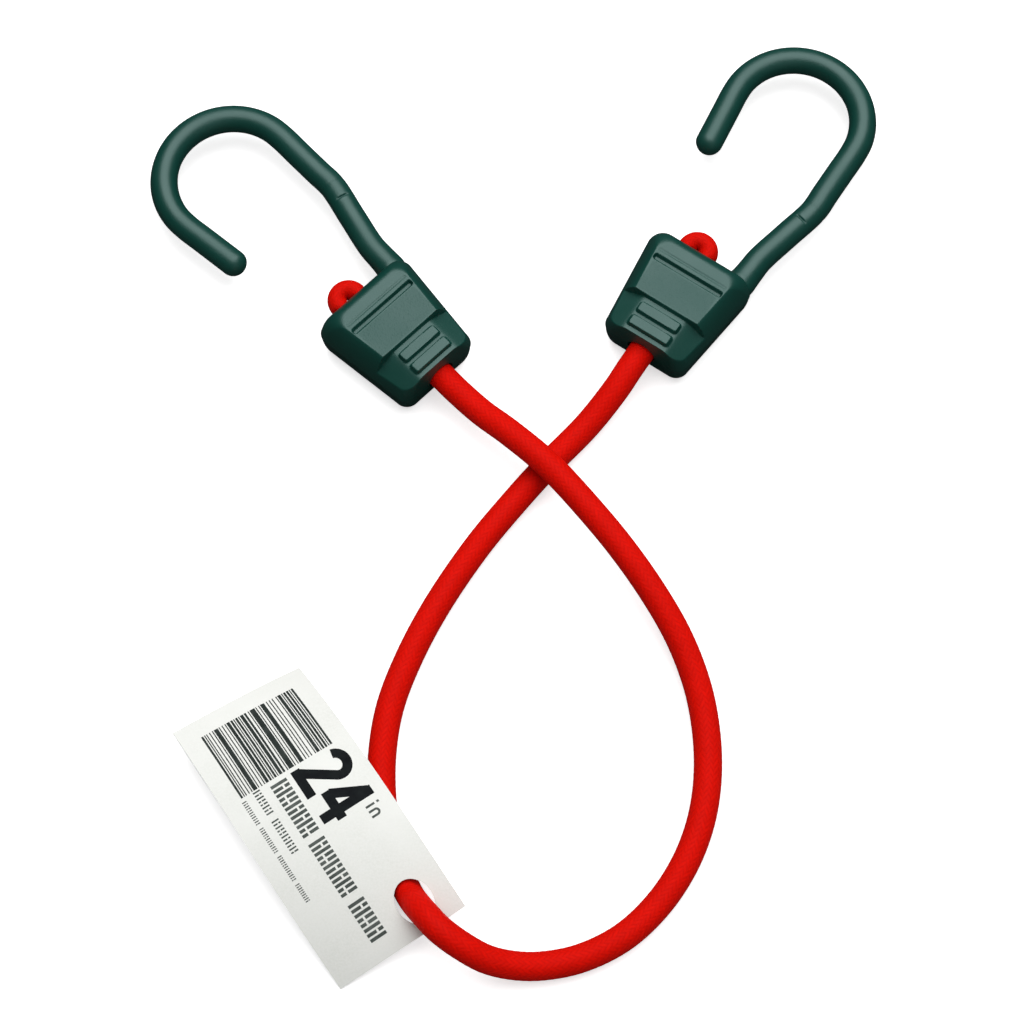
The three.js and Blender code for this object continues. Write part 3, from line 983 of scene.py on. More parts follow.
@dataclass
class HookSizes:
    """Sizes of the hook, its block and the cord's end in it, in the hook's own frame."""

    fit: float = 0.0003
    join: float = 0.0003
    cord_radius: float = 0.0036
    cover_wall: float = 0.0009
    thickness: float = 0.017
    length: float = 0.0315
    cord_end_width: float = 0.0254
    hook_end_width: float = 0.031
    side_round: float = 0.0042
    hook_end_round: float = 0.0045
    cord_end_round: float = 0.0016
    back_round: float = 0.0018
    corner: float = 0.0035
    wire_radius: float = 0.0022
    coating_wall: float = 0.0011
    bowl_radius: float = 0.0181
    bowl_offset: float = -0.0016
    tip_leg: float = 0.0162
    tip_lean: float = 7.0
    shank: float = 0.0203
    sleeve_reach: float = 0.028
    knee_height: float = 0.008
    knee_offset: float = 0.012
    entry_offset: float = 0.0114
    sleeve_sunk: float = 0.0075
    wire_sunk: float = 0.0225
    foot_wall: float = 0.0012
    squeezed_width: float = 0.002
    squeezed_height: float = 0.0031
    squeezed_wall: float = 0.0007
    loop_swell: float = 0.0006
    squeeze_start: float = 0.013
    squeeze_length: float = 0.012
    bridge_width: float = 0.0014
    loop_rise: float = 0.0008
    tail_shift: float = 0.002
    tail_length: float = 0.0183
    ferrule_length: float = 0.0055
    ferrule_wall: float = 0.0006
    tail_sticks_out: float = 0.001
    bowl_points: int = 15
    leg_shares: Triple = (1.0, 0.66, 0.33)
    shank_shares: Triple = (0.35, 0.7, 1.0)

    @property
    def middle(self) -> float:
        """Height of the hook's plane."""
        return self.thickness / 2

    @property
    def bore_radius(self) -> float:
        """Radius of the wire's bore."""
        return self.wire_radius + self.fit

    @property
    def coating_radius(self) -> float:
        """Outer radius of the coated wire."""
        return self.bore_radius + self.coating_wall

    @property
    def bend_height(self) -> float:
        """Where the shank turns towards the block, over the mouth."""
        return self.length + self.sleeve_reach

    @property
    def foot_height(self) -> float:
        """The wire's lower end, over the mouth."""
        return self.length - self.wire_sunk

    @property
    def loop_radius(self) -> float:
        """Radius of the cord's line over the bridge."""
        return self.squeezed_width + self.fit + self.bridge_width / 2

    @property
    def loop_centre(self) -> float:
        """Centre of that loop, over the mouth."""
        return self.length + self.loop_rise

    @property
    def tail_offset(self) -> float:
        """The tail's distance from the cord's axis."""
        return 2 * self.loop_radius + self.tail_shift

    @property
    def tail_end(self) -> float:
        """The tail's cut end, over the mouth."""
        return self.loop_centre - self.tail_length

    @property
    def ferrule_span(self) -> Pair:
        """The ferrule's two ends, over the mouth."""
        foot = self.tail_end + self.tail_sticks_out
        return foot, foot + self.ferrule_length

    def wire_path(self) -> Path:
        """Centreline of the hook from its tip to the wire's foot.

        A straight leg leans into the bowl's arc, the arc runs into a straight shank, and the shank bends
        twice on its way into the block and to its foot.

        Returns:
            The line.
        """
        lean = np.radians(self.tip_lean)
        bowl_height = self.bend_height + self.shank
        angle = (np.pi + lean) * (1 - np.arange(self.bowl_points) / (self.bowl_points - 1))
        bowl = np.stack([np.cos(angle), np.sin(angle)], axis=1) * self.bowl_radius
        bowl += (self.bowl_offset, bowl_height)
        leg = bowl[0] + np.outer(self.leg_shares, [np.sin(lean), -np.cos(lean)]) * self.tip_leg
        fall = bowl_height - np.array(self.shank_shares) * self.shank
        shank = np.stack([np.full_like(fall, self.bowl_offset + self.bowl_radius), fall], axis=1)
        foot_x = self.cord_radius + self.fit + self.foot_wall + self.bore_radius
        knee = (self.knee_offset, self.length + self.knee_height)
        bends = np.array([shank[-1], knee, (self.entry_offset, self.length), (foot_x, self.foot_height)])
        lower = np.stack([(bends[:-1] + bends[1:]) / 2, bends[1:]], axis=1).reshape(-1, 2)
        return Path(smooth_line(level(np.vstack([leg, bowl, shank, lower]), self.middle)))

    @staticmethod
    def down_to(path: Path, height: float) -> float:
        """Distance along a hook's line where its shank comes down to a height; its second half only falls."""
        half = len(path.points) // 2
        return float(np.interp(-height, -path.points[half:, 1], path.run[half:]))


@dataclass
class CordEnd:
    """The cord's end in a block: up from the mouth, over the bridge, down to its crimped tail."""

    sizes: HookSizes
    braid: Braid
    columns: int = 100
    step: float = 0.0004
    sections: int = 90
    straight_points: int = 60
    loop_points: int = 40
    mouth_flare: float = 0.0007
    flare_length: float = 0.0012

    def __post_init__(self) -> None:
        """Lay the centreline: a straight, a half circle over the bridge, and a tail eased outwards."""
        s = self.sizes
        rise = np.linspace(0.0, s.loop_centre, self.straight_points, endpoint=False)
        up = np.stack([np.zeros_like(rise), rise], axis=1)
        angle = np.linspace(0.0, np.pi, self.loop_points, endpoint=False)
        over = np.stack([np.cos(angle) - 1.0, np.sin(angle)], axis=1) * s.loop_radius + (0.0, s.loop_centre)
        fall = np.linspace(s.loop_centre, s.tail_end, self.straight_points)
        ease = 1.0 - smoothstep(s.ferrule_span[1], s.length, fall)
        down = np.stack([-2 * s.loop_radius - s.tail_shift * ease, fall], axis=1)
        self.path = Path(level(np.vstack([up, over, down]), s.middle))

    def section(self, distance: Array, out: float, wall_share: float = 0.0) -> tuple[Array, Array]:
        """Half width and half height of the cord along its way.

        Args:
            distance: Places along the centreline.
            out: How far the wall moves out.
            wall_share: How much of the cover's wall is taken off.

        Returns:
            Two arrays, one row a place: round at the mouth, drawn to an oval on the way to the loop, and
            wider again round the loop.
        """
        s = self.sizes
        tight = smoothstep(s.squeeze_start, s.squeeze_start + s.squeeze_length, distance)
        wall = wall_share * (s.cover_wall + (s.squeezed_wall - s.cover_wall) * tight)
        loop_end = s.loop_centre + np.pi * s.loop_radius
        swell = smoothstep(s.length, s.loop_centre, distance)
        swell -= smoothstep(loop_end, loop_end + s.loop_rise, distance)
        wide = s.cord_radius + (s.squeezed_width - s.cord_radius) * tight + out - wall + s.loop_swell * swell
        high = s.cord_radius + (s.squeezed_height - s.cord_radius) * tight + out - wall
        return wide[:, None], high[:, None]

    def cover(self) -> Mesh:
        """Braided cover, whose inner wall has fewer sections than its outer one.

        Returns:
            The mesh, in the hook's own frame.
        """
        rows = np.linspace(0.0, self.path.length, int(self.path.length / self.step))
        inside = np.union1d(rows[::self.braid.inner_every], rows[-1:])
        outer, inner = self.section(rows, 0.0), self.section(inside, 0.0, 1.0)
        shell = self.braid.cover(self.path, rows, inside, outer, inner, self.columns)
        return shell.mesh("end_braid", self.braid.sharp)

    def tube(self, name: str, out: float, wall_share: float, run: float, columns: int) -> Piece:
        """Closed tube that follows the cord's way, in the hook's own frame.

        Args:
            name: The tube's name.
            out: How far it stands outside the cord.
            wall_share: How much of the cover's wall is taken off.
            run: How far both its ends run on; a tube that runs on widens at the mouth.
            columns: Sides.

        Returns:
            The solid.
        """
        rows = np.linspace(0.0, self.path.length, self.sections)
        wide, high = self.section(rows, out, wall_share)
        widening = (1.0 - np.clip(rows / self.flare_length, 0.0, 1.0))[:, None] ** 2
        flare = self.mouth_flare * widening if run else 0.0
        points = sweep(self.path, rows, wide + flare, high + flare, columns)
        points[[0, -1], :, 1] -= run
        return closed_tube(name, points)


@dataclass
class Hook:
    """Coated wire hook moulded into its block, with the cord's end in it."""

    sizes: HookSizes
    end: CordEnd
    columns: int = 64
    bore_columns: int = 32
    step: float = 0.0004
    overrun: float = 0.002
    seam_gap: float = 0.00002
    seam_ridge: float = 0.00009
    seam_chamfer: float = 0.00005
    seam_lip: float = 0.0007
    seam_spread: float = 0.12
    block_seam_spread: float = 0.035
    nick_from_bend: float = 0.0052
    nick_half_length: float = 0.00028
    nick_depth: float = 0.0004
    nick_reach: Pair = (0.86, 0.98)
    sleeve_flare: float = 0.0004
    sleeve_flare_length: float = 0.003
    groove_from_hook_end: float = 0.0096
    groove_half_width: float = 0.0007
    groove_half_length: float = 0.0103
    groove_corner: float = 0.0005
    relief: float = 0.0012
    relief_soft: float = 0.00028
    panel_foot: float = 0.0112
    panel_inset: Pair = (0.0004, 0.0005)
    panel_corner: float = 0.0006
    panel_fade: Pair = (0.0001, -0.0003)
    rib_half_length: float = 0.0061
    rib_half_width: float = 0.0015
    rib_corner: float = 0.0007
    rib_heights: Pair = (0.0036, 0.0079)
    shoulder_fall: float = 30.0
    shoulder_bend: float = 0.0008
    rim_line_at: float = 0.0242
    rim_line_half_width: float = 0.0003
    rim_line_corner: float = 0.0002
    rim_line_depth: float = 0.00013
    side_points: int = 92
    corner_points: int = 22
    side_power: float = 1.4
    window_power: float = 0.28
    crimp_powers: Pair = (0.5, 0.35)
    crimp_dent: float = 0.00022
    crimp_half_length: float = 0.0009
    tip_rise: float = 88.0
    tip_rings: int = 16
    bore_every: int = 3
    bore_rings: int = 60
    wall_rings: int = 61
    back_rings: int = 12
    front_rings: int = 100
    cap_shares: Pair = (0.04, 0.02)
    nick_spread: float = 3.0
    nick_rows: int = 25
    ferrule_points: int = 28
    sharp: float = 50.0

    def __post_init__(self) -> None:
        """Lay the wire's centreline."""
        self.path = self.sizes.wire_path()
        self.bend = self.sizes.down_to(self.path, self.sizes.bend_height)

    def _nick(self, rows: Array) -> Array:
        """Depth of the nick that the mould leaves across the top of the shank.

        It is a bell curve along the shank, eased out where the surface turns away from straight up.

        Args:
            rows: Distances along the hook's line.

        Returns:
            Depths, rows by columns.
        """
        along = np.exp(-(((rows - self.bend - self.nick_from_bend) / self.nick_half_length) ** 2))
        upward = round_section(self.columns)[1]
        return self.nick_depth * along[:, None] * smoothstep(*self.nick_reach, upward)[None]

    def coating(self) -> Mesh:
        """Plastic coating with a round tip, a fine parting ridge on both sides and the wire's bore.

        Returns:
            The mesh, in the hook's own frame.
        """
        s = self.sizes
        end = self.bend - self.seam_gap / 2
        rows = np.linspace(0.0, end, int(end / self.step))
        edge = smoothstep(0.0, self.seam_lip, end - rows)
        turn = np.arange(self.columns) / self.columns
        ridge = self.seam_ridge * np.exp(-((np.sin(FULL_TURN * turn) / self.seam_spread) ** 2))
        radius = s.coating_radius - self.seam_chamfer * (1 - edge)[:, None] ** 2 + ridge[None]
        body = sweep(self.path, rows, radius, radius, self.columns)
        start, ahead = self.path.at(rows[:1]), self.path.along(rows[:1])
        angle = np.radians(np.linspace(self.tip_rise, 0.0, self.tip_rings, endpoint=False))
        dome = (body[:1] - start[:, None]) * np.cos(angle)[:, None, None]
        dome += (start - np.outer(np.sin(angle), ahead) * s.coating_radius)[:, None]
        shell = Shell()
        outer = shell.grid(np.concatenate([dome, body]))
        shell.fan(outer[0], start[0] - ahead[0] * s.coating_radius, flip=True)
        inside = np.linspace(s.join, end, int(end / self.step / self.bore_every))
        inner = shell.grid(sweep(self.path, inside, s.bore_radius, s.bore_radius, self.columns), flip=True)
        shell.bridge(outer[-1], inner[-1])
        shell.fan(inner[0], self.path.at(inside[:1])[0])
        return shell.mesh("coating")

    def _outline(self, sides: Array, hook_end: Array, cord_end: Array) -> Array:
        """Wedge outlines with round corners, each drawn in from the widest.

        Corners are quarter circles; between them the outline is straight. It runs anticlockwise seen from +Z.

        Args:
            sides: How far the two sides are drawn in, one value an outline.
            hook_end: The same for the hook end.
            cord_end: The same for the cord end.

        Returns:
            Outlines by points by two.
        """
        s = self.sizes
        bottom, top = cord_end, s.length - hook_end

        def half(y: Array) -> Array:
            """Half width at a height over the mouth."""
            return (s.cord_end_width + (s.hook_end_width - s.cord_end_width) * y / s.length) / 2 - sides

        low, high = half(bottom) - s.corner, half(top) - s.corner
        x = np.stack([low, high, -high, -low], axis=1)[..., None]
        y = np.stack([bottom, top, top, bottom], axis=1) + s.corner * np.array([1.0, -1.0, -1.0, 1.0])
        starts, quarter = np.array([-90.0, 0.0, 90.0, 180.0]), np.linspace(0.0, 90.0, self.corner_points)
        angle = np.radians(starts[:, None] + quarter)
        corners = np.stack([x + s.corner * np.cos(angle), y[..., None] + s.corner * np.sin(angle)], axis=-1)
        share = np.arange(1, self.side_points)[:, None] / self.side_points
        first, last = corners[:, :, -1:, :], np.roll(corners[:, :, :1, :], -1, axis=1)
        return np.concatenate([corners, first + (last - first) * share], axis=2).reshape(len(sides), -1, 2)

    def _front_depth(self, x: Array, y: Array) -> Array:
        """How far the front stands back: a line on the rim, a groove under it, and the field round two ribs.

        Past the ribs' ends the field slopes off. Its fall follows (p + root(p p + c c)) / 2 for a distance p
        past them and a bend of size c.

        Args:
            x: Places across the block.
            y: Places over the mouth.

        Returns:
            Depths under the front face.
        """
        soft = self.relief_soft, -self.relief_soft
        above_groove = y - self.sizes.length + self.groove_from_hook_end
        groove = rounded_box(
            x, above_groove, self.groove_half_length, self.groove_half_width, self.groove_corner
        )
        ribs = np.minimum(*(
            rounded_box(x, y - at, self.rib_half_length, self.rib_half_width, self.rib_corner)
            for at in self.rib_heights
        ))
        line = rounded_box(
            x, y - self.rim_line_at, self.groove_half_length, self.rim_line_half_width, self.rim_line_corner
        )
        field_cut = np.maximum(y - self.panel_foot, -ribs)
        depth = self.relief * smoothstep(*soft, np.minimum(groove, field_cut))
        past = np.abs(x) - self.rib_half_length - self.sizes.fit
        slope = np.tan(np.radians(self.shoulder_fall)) * (past + np.hypot(past, self.shoulder_bend)) / 2
        depth += slope * smoothstep(*soft, y - self.panel_foot)
        return depth + self.rim_line_depth * smoothstep(*soft, line)

    def _stipple(self, x: Array, y: Array) -> Array:
        """How stippled the front is: fully on the plate between the groove and the ribs' field.

        Args:
            x: Places across the block.
            y: Places over the mouth.

        Returns:
            Shares from 0 to 1.
        """
        top = self.sizes.length - self.groove_from_hook_end - self.groove_half_width
        middle, half = (self.panel_foot + top) / 2, (top - self.panel_foot) / 2
        half_x, half_y = self.groove_half_length - self.panel_inset[0], half - self.panel_inset[1]
        return smoothstep(*self.panel_fade, rounded_box(x, y - middle, half_x, half_y, self.panel_corner))

    def body(self) -> Piece:
        """Block without its passages.

        Each side follows a quarter ellipse from the middle of the thickness to the back and to the front, but
        the two long ones run up to the front on a flatter curve, a^p + b^p = 1. A parting ridge goes round
        the middle, flat caps close the back and the front, and the front's relief is cut down.

        Returns:
            The solid, with the stippled field in its stipple attribute.
        """
        s = self.sizes
        phi = np.radians(np.linspace(-90.0, 90.0, self.wall_rings))
        ends = 1.0 - np.cos(phi)
        sides = 1.0 - (1.0 - np.abs(np.sin(phi)) ** self.side_power) ** (1.0 / self.side_power)
        ridge = self.seam_ridge * np.exp(-((phi / self.block_seam_spread) ** 2))
        fronts = (sides * s.side_round, ends * s.hook_end_round, ends * s.cord_end_round)
        rings = self._outline(*(np.where(phi > 0, front, ends * s.back_round) - ridge for front in fronts))
        height = s.middle * (1.0 + np.sin(phi))
        wall = np.concatenate([rings, np.broadcast_to(height[:, None, None], (*rings.shape[:2], 1))], axis=2)
        shrink_back = np.linspace(self.cap_shares[0], 1.0, self.back_rings, endpoint=False)[:, None, None]
        shrink_front = np.linspace(1.0, self.cap_shares[1], self.front_rings)[1:, None, None]
        back_middle = np.array([0.0, s.length / 2, 0.0])
        front_middle = back_middle + UP * s.thickness
        back = back_middle + (wall[:1] - back_middle) * shrink_back
        front = front_middle + (wall[-1:] - front_middle) * shrink_front
        points = np.concatenate([back, wall, front])
        x, y = points[..., 0], points[..., 1]
        points[..., 2] = np.minimum(points[..., 2], s.thickness - self._front_depth(x, y))
        shell = Shell()
        numbers = shell.grid(points)
        shell.fan(numbers[0], back_middle, flip=True)
        shell.fan(numbers[-1], front_middle - UP * self._front_depth(*front_middle[:2, None])[0])
        block = shell.build("block")
        stipple = self._stipple(x, y) * (points[..., 2] > s.middle)
        values = np.concatenate([stipple.ravel(), [0.0, 1.0]]).astype(np.float32)
        block.data.attributes.new("stipple", "FLOAT", "POINT").data.foreach_set("value", values)
        return block

    def block(self) -> Mesh:
        """Block with its sleeve up the shank, the cord's passage, the wire's bore and the crimp window.

        Returns:
            The mesh, in the hook's own frame.
        """
        s = self.sizes
        block = self.body()
        root = s.down_to(self.path, s.length - s.sleeve_sunk)
        top = self.bend + self.seam_gap / 2
        spread = np.linspace(-self.nick_spread, self.nick_spread, self.nick_rows) * self.nick_half_length
        near_nick = self.bend + self.nick_from_bend + spread
        rows = np.union1d(np.linspace(top, root, int((root - top) / self.step)), near_nick)
        before_exit = np.clip(s.down_to(self.path, s.length) - rows, 0.0, None)
        flare = self.sleeve_flare * np.exp(-before_exit / self.sleeve_flare_length)
        lip = self.seam_chamfer * (1.0 - smoothstep(0.0, self.seam_lip, rows - top)) ** 2
        radius = (s.coating_radius + flare - lip)[:, None] - self._nick(rows)
        sleeve = sweep(self.path, rows, radius, radius, self.columns)
        work(block, closed_tube("sleeve", sleeve), Solid.JOIN)
        bore_rows = np.linspace(self.bend - self.overrun, self.path.length, self.bore_rings)
        bore = sweep(self.path, bore_rows, s.bore_radius, s.bore_radius, self.bore_columns)
        work(block, closed_tube("bore", bore), Solid.CUT)
        work(block, self.end.tube("passage", s.fit, 0.0, self.overrun, self.columns), Solid.CUT)
        work(block, self._window(), Solid.CUT)
        mesh = block.data
        bpy.data.objects.remove(block)
        finish_normals(mesh, self.sharp)
        return mesh

    def _window(self) -> Piece:
        """Cutter for the opening in the back over the ferrule: a prism with round corners.

        Returns:
            The solid.
        """
        s = self.sizes
        half_x = s.squeezed_width + 2 * s.fit + s.ferrule_wall
        low, high = s.tail_end - s.tail_sticks_out, s.ferrule_span[1] + s.fit
        cosine, sine = squared_off(round_section(self.columns), self.window_power)
        x = -s.tail_offset + half_x * cosine
        y = (low + high) / 2 + (high - low) / 2 * sine
        outline = np.stack([x, y], axis=1)
        roof = s.middle + s.squeezed_height + 2 * s.fit + s.ferrule_wall
        return closed_tube("window", np.stack([level(outline, z) for z in (-self.overrun, roof)]))

    def ferrule(self) -> Mesh:
        """Crimped oval ring on the tail: a rounded profile carried round an oval, pressed in at its middle.

        Returns:
            The mesh, in the hook's own frame.
        """
        s = self.sizes
        foot, head = s.ferrule_span
        wall = s.ferrule_wall / 2
        angle = np.linspace(0.0, FULL_TURN, self.ferrule_points, endpoint=False)
        out = wall * (1 + squared_off(np.cos(angle), self.crimp_powers[0]))
        along = (head - foot) / 2 * squared_off(np.sin(angle), self.crimp_powers[1])
        dent = self.crimp_dent * np.exp(-((along / self.crimp_half_length) ** 2)) * (out > wall)
        cosine, sine = round_section(self.columns)
        grow = (s.fit + out - dent)[:, None]
        x = -s.tail_offset + (s.squeezed_width + grow) * cosine
        z = s.middle + (s.squeezed_height + grow) * sine
        y = np.broadcast_to(((foot + head) / 2 + along)[:, None], x.shape)
        shell = Shell()
        shell.grid(np.stack([x, y, z], axis=-1), flip=True, form=Form.TORUS)
        return shell.mesh("ferrule")

    def build(self, finishes: Finishes, nodes: dict[str, Piece]) -> None:
        """Make both hooks with the cord's ends in them, and give the CAD wires their finish.

        Args:
            finishes: Materials.
            nodes: CAD nodes by name.
        """
        core = self.end.tube("core", -self.sizes.fit, 1.0, 0.0, self.bore_columns)
        meshes = (
            ("coating", self.coating(), finishes.plastic, Slot.PLASTIC, "hook_coating"),
            ("block", self.block(), finishes.plastic, Slot.PLASTIC, "hook_block"),
            ("end_braid", self.end.cover(), finishes.cover, Slot.COVER, "end_cover"),
            ("end_latex", core.data, finishes.latex, Slot.CORE, "end_core"),
            ("ferrule", self.ferrule(), finishes.alloy, Slot.FERRULE, "tail_ferrule"),
        )
        for place in PLACES:
            for label, mesh, material, slot, node in meshes:
                piece = place.stand(place.name(label), mesh)
                dress(piece, material, slot, place.name(node))
                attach(piece, place.name("hook"))
            wire = nodes[place.name("hook_wire")]
            wire.data.materials.clear()
            wire.data.materials.append(finishes.steel)
        bpy.data.objects.remove(core)


# Cord


@dataclass
class Cord:
    """The free cord from mouth to mouth, cut where the joints let it give and bend."""

    sizes: HookSizes
    braid: Braid
    neck: float = 0.016
    stretch: float = 0.085
    columns: int = 100
    step: float = 0.00036
    core_step: float = 0.0015
    core_threads: int = 9
    flute_depth: float = 0.00025
    blend_shares: Pair = (0.06, 0.94)
    declared_points: int = 90
    route: tuple[Triple, ...] = (
        (-0.0149, 0.0274, 0.0049),
        (-0.0085, 0.0211, 0.0058),
        (-0.0015, 0.0151, 0.0074),
        (0.0086, 0.0058, 0.0084),
        (0.0216, -0.0092, 0.0081),
        (0.0287, -0.0183, 0.0071),
        (0.0352, -0.0277, 0.0055),
        (0.0407, -0.037, 0.0036),
        (0.0445, -0.0456, 0.0019),
        (0.0472, -0.055, 0.0007),
        (0.0486, -0.067, 0.0001),
        (0.0481, -0.0782, 0.0001),
        (0.0459, -0.0882, 0.0001),
        (0.0417, -0.098, 0.0001),
        (0.0352, -0.1074, 0.0001),
        (0.0266, -0.1153, 0.0001),
        (0.0163, -0.1204, 0.0001),
        (0.0069, -0.1224, 0.0006),
        (-0.0001, -0.1226, 0.0022),
        (-0.0069, -0.1215, 0.0047),
        (-0.0131, -0.1186, 0.0074),
        (-0.0184, -0.1149, 0.0086),
        (-0.0218, -0.1112, 0.0077),
        (-0.0236, -0.1089, 0.0059),
        (-0.0257, -0.1055, 0.002),
        (-0.0271, -0.1027, 0.0006),
        (-0.0291, -0.098, 0.0001),
        (-0.0317, -0.0896, 0.0001),
        (-0.0332, -0.0805, 0.0001),
        (-0.0334, -0.069, 0.0001),
        (-0.0316, -0.0566, 0.0001),
        (-0.0269, -0.0435, 0.0001),
        (-0.0199, -0.0296, 0.0001),
        (-0.0095, -0.0135, 0.0001),
        (0.0006, -0.0007, 0.0001),
        (0.0087, 0.0087, 0.0001),
        (0.0192, 0.0196, 0.0012),
        (0.0267, 0.0287, 0.0039),
        (0.0299, 0.0335, 0.0047),
    )

    def __post_init__(self) -> None:
        """Lay the centreline through both mouths and the route, which gives the cord's underside."""
        ends = [np.array([[*place.mouth, self.sizes.middle]]) for place in PLACES]
        free = np.array(self.route) + UP * self.sizes.cord_radius
        self.path = Path(smooth_line(np.vstack([ends[0], free, ends[1]])))

    @property
    def diameter(self) -> float:
        """The cord's thickness."""
        return 2 * self.sizes.cord_radius

    def spans(self) -> dict[str, Pair]:
        """The free stretches by name, from one distance along the cord to another."""
        total, run = self.path.length, self.neck + self.stretch
        return {
            "left_neck": (0.0, self.neck),
            "left_run": (self.neck, run),
            "loop": (run, total - run),
            "right_run": (total - run, total - self.neck),
            "right_neck": (total - self.neck, total),
        }

    def cover(self, name: str, start: float, stop: float) -> Piece:
        """Braided cover of one stretch, with its inner wall.

        Args:
            name: The piece's name.
            start: Where it starts along the cord.
            stop: Where it ends.

        Returns:
            The piece.
        """
        radius, bore = self.sizes.cord_radius, self.sizes.cord_radius - self.sizes.cover_wall
        rows = np.linspace(start, stop, int((stop - start) / self.step))
        inside = np.linspace(start, stop, len(rows) // self.braid.inner_every)
        shell = self.braid.cover(self.path, rows, inside, (radius, radius), (bore, bore), self.columns)
        return shell.build(name, self.braid.sharp)

    def core(self, name: str, start: float, stop: float) -> Piece:
        """Latex core of one stretch: a bundle whose outline is fluted by its threads.

        With n threads, the outline at a turn t lies under its crests by the depth times the square of
        1 - |sin(pi n t)|.

        Args:
            name: The piece's name.
            start: Where it starts along the cord.
            stop: Where it ends.

        Returns:
            The piece.
        """
        rows = np.linspace(start, stop, int((stop - start) / self.core_step))
        turn = np.arange(self.columns) / self.columns
        radius = self.sizes.cord_radius - self.sizes.cover_wall - self.sizes.fit
        wave = np.abs(np.sin(self.core_threads / 2 * FULL_TURN * turn))
        fluted = radius - self.flute_depth * (1 - wave) ** 2
        return closed_tube(name, sweep(self.path, rows, fluted, fluted, self.columns))

    def build(self, finishes: Finishes) -> None:
        """Make every stretch, and hang the loop's pieces on the loop's body.

        Args:
            finishes: Materials.
        """
        pieces = {}
        for stretch, (start, stop) in self.spans().items():
            cover = self.cover(f"{stretch}_braid", start, stop)
            core = self.core(f"{stretch}_latex", start, stop)
            dress(cover, finishes.cover, Slot.COVER, f"{stretch}_cover")
            dress(core, finishes.latex, Slot.CORE, f"{stretch}_core")
            for piece in (cover, core):
                self.follow(piece, stretch, start, stop)
            pieces[stretch] = (cover, core)
        for stretch in ("left_run", "loop", "right_run"):
            self.declare(stretch, pieces)

    def follow(self, piece: Piece, stretch: str, start: float, stop: float) -> None:
        """Ride on the loop's body, or, for any other stretch, bake its place into its mesh.

        Args:
            piece: The stretch's piece.
            stretch: Its name.
            start: Where it starts along the cord.
            stop: Where it ends.
        """
        if stretch == "loop":
            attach(piece, "cord_loop")
            return
        side, kind = stretch.split("_")
        shares = np.array(self.blend_shares if side == Side.RIGHT.value else self.blend_shares[::-1])
        near, far = self.path.at(start + shares * (stop - start))
        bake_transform(piece)

    def declare(self, stretch: str, pieces: dict[str, tuple[Piece, Piece]]) -> None:
        """Gather a stretch's line, and the core and the neck that go with it.

        Args:
            stretch: Name of the stretch.
            pieces: Cover and core of every stretch.
        """
        start, stop = self.spans()[stretch]
        path = self.path.at(np.linspace(start, stop, self.declared_points))
        cover, core = pieces[stretch]
        with_pieces = [core]
        if stretch != "loop":
            with_pieces += pieces[stretch.replace("run", "neck")]
        if stretch.startswith(Side.RIGHT.value):
            path = path[::-1]


# Tag


@dataclass(frozen=True)
class MarkRow:
    """A printed row of uprights.

    It has its foot and top across the card, the ends of its groups along the card, the pitch of its
    uprights and the share of the pitch that is ink.
    """

    across: Pair
    groups: tuple[Pair, ...]
    pitch: float
    fill: float


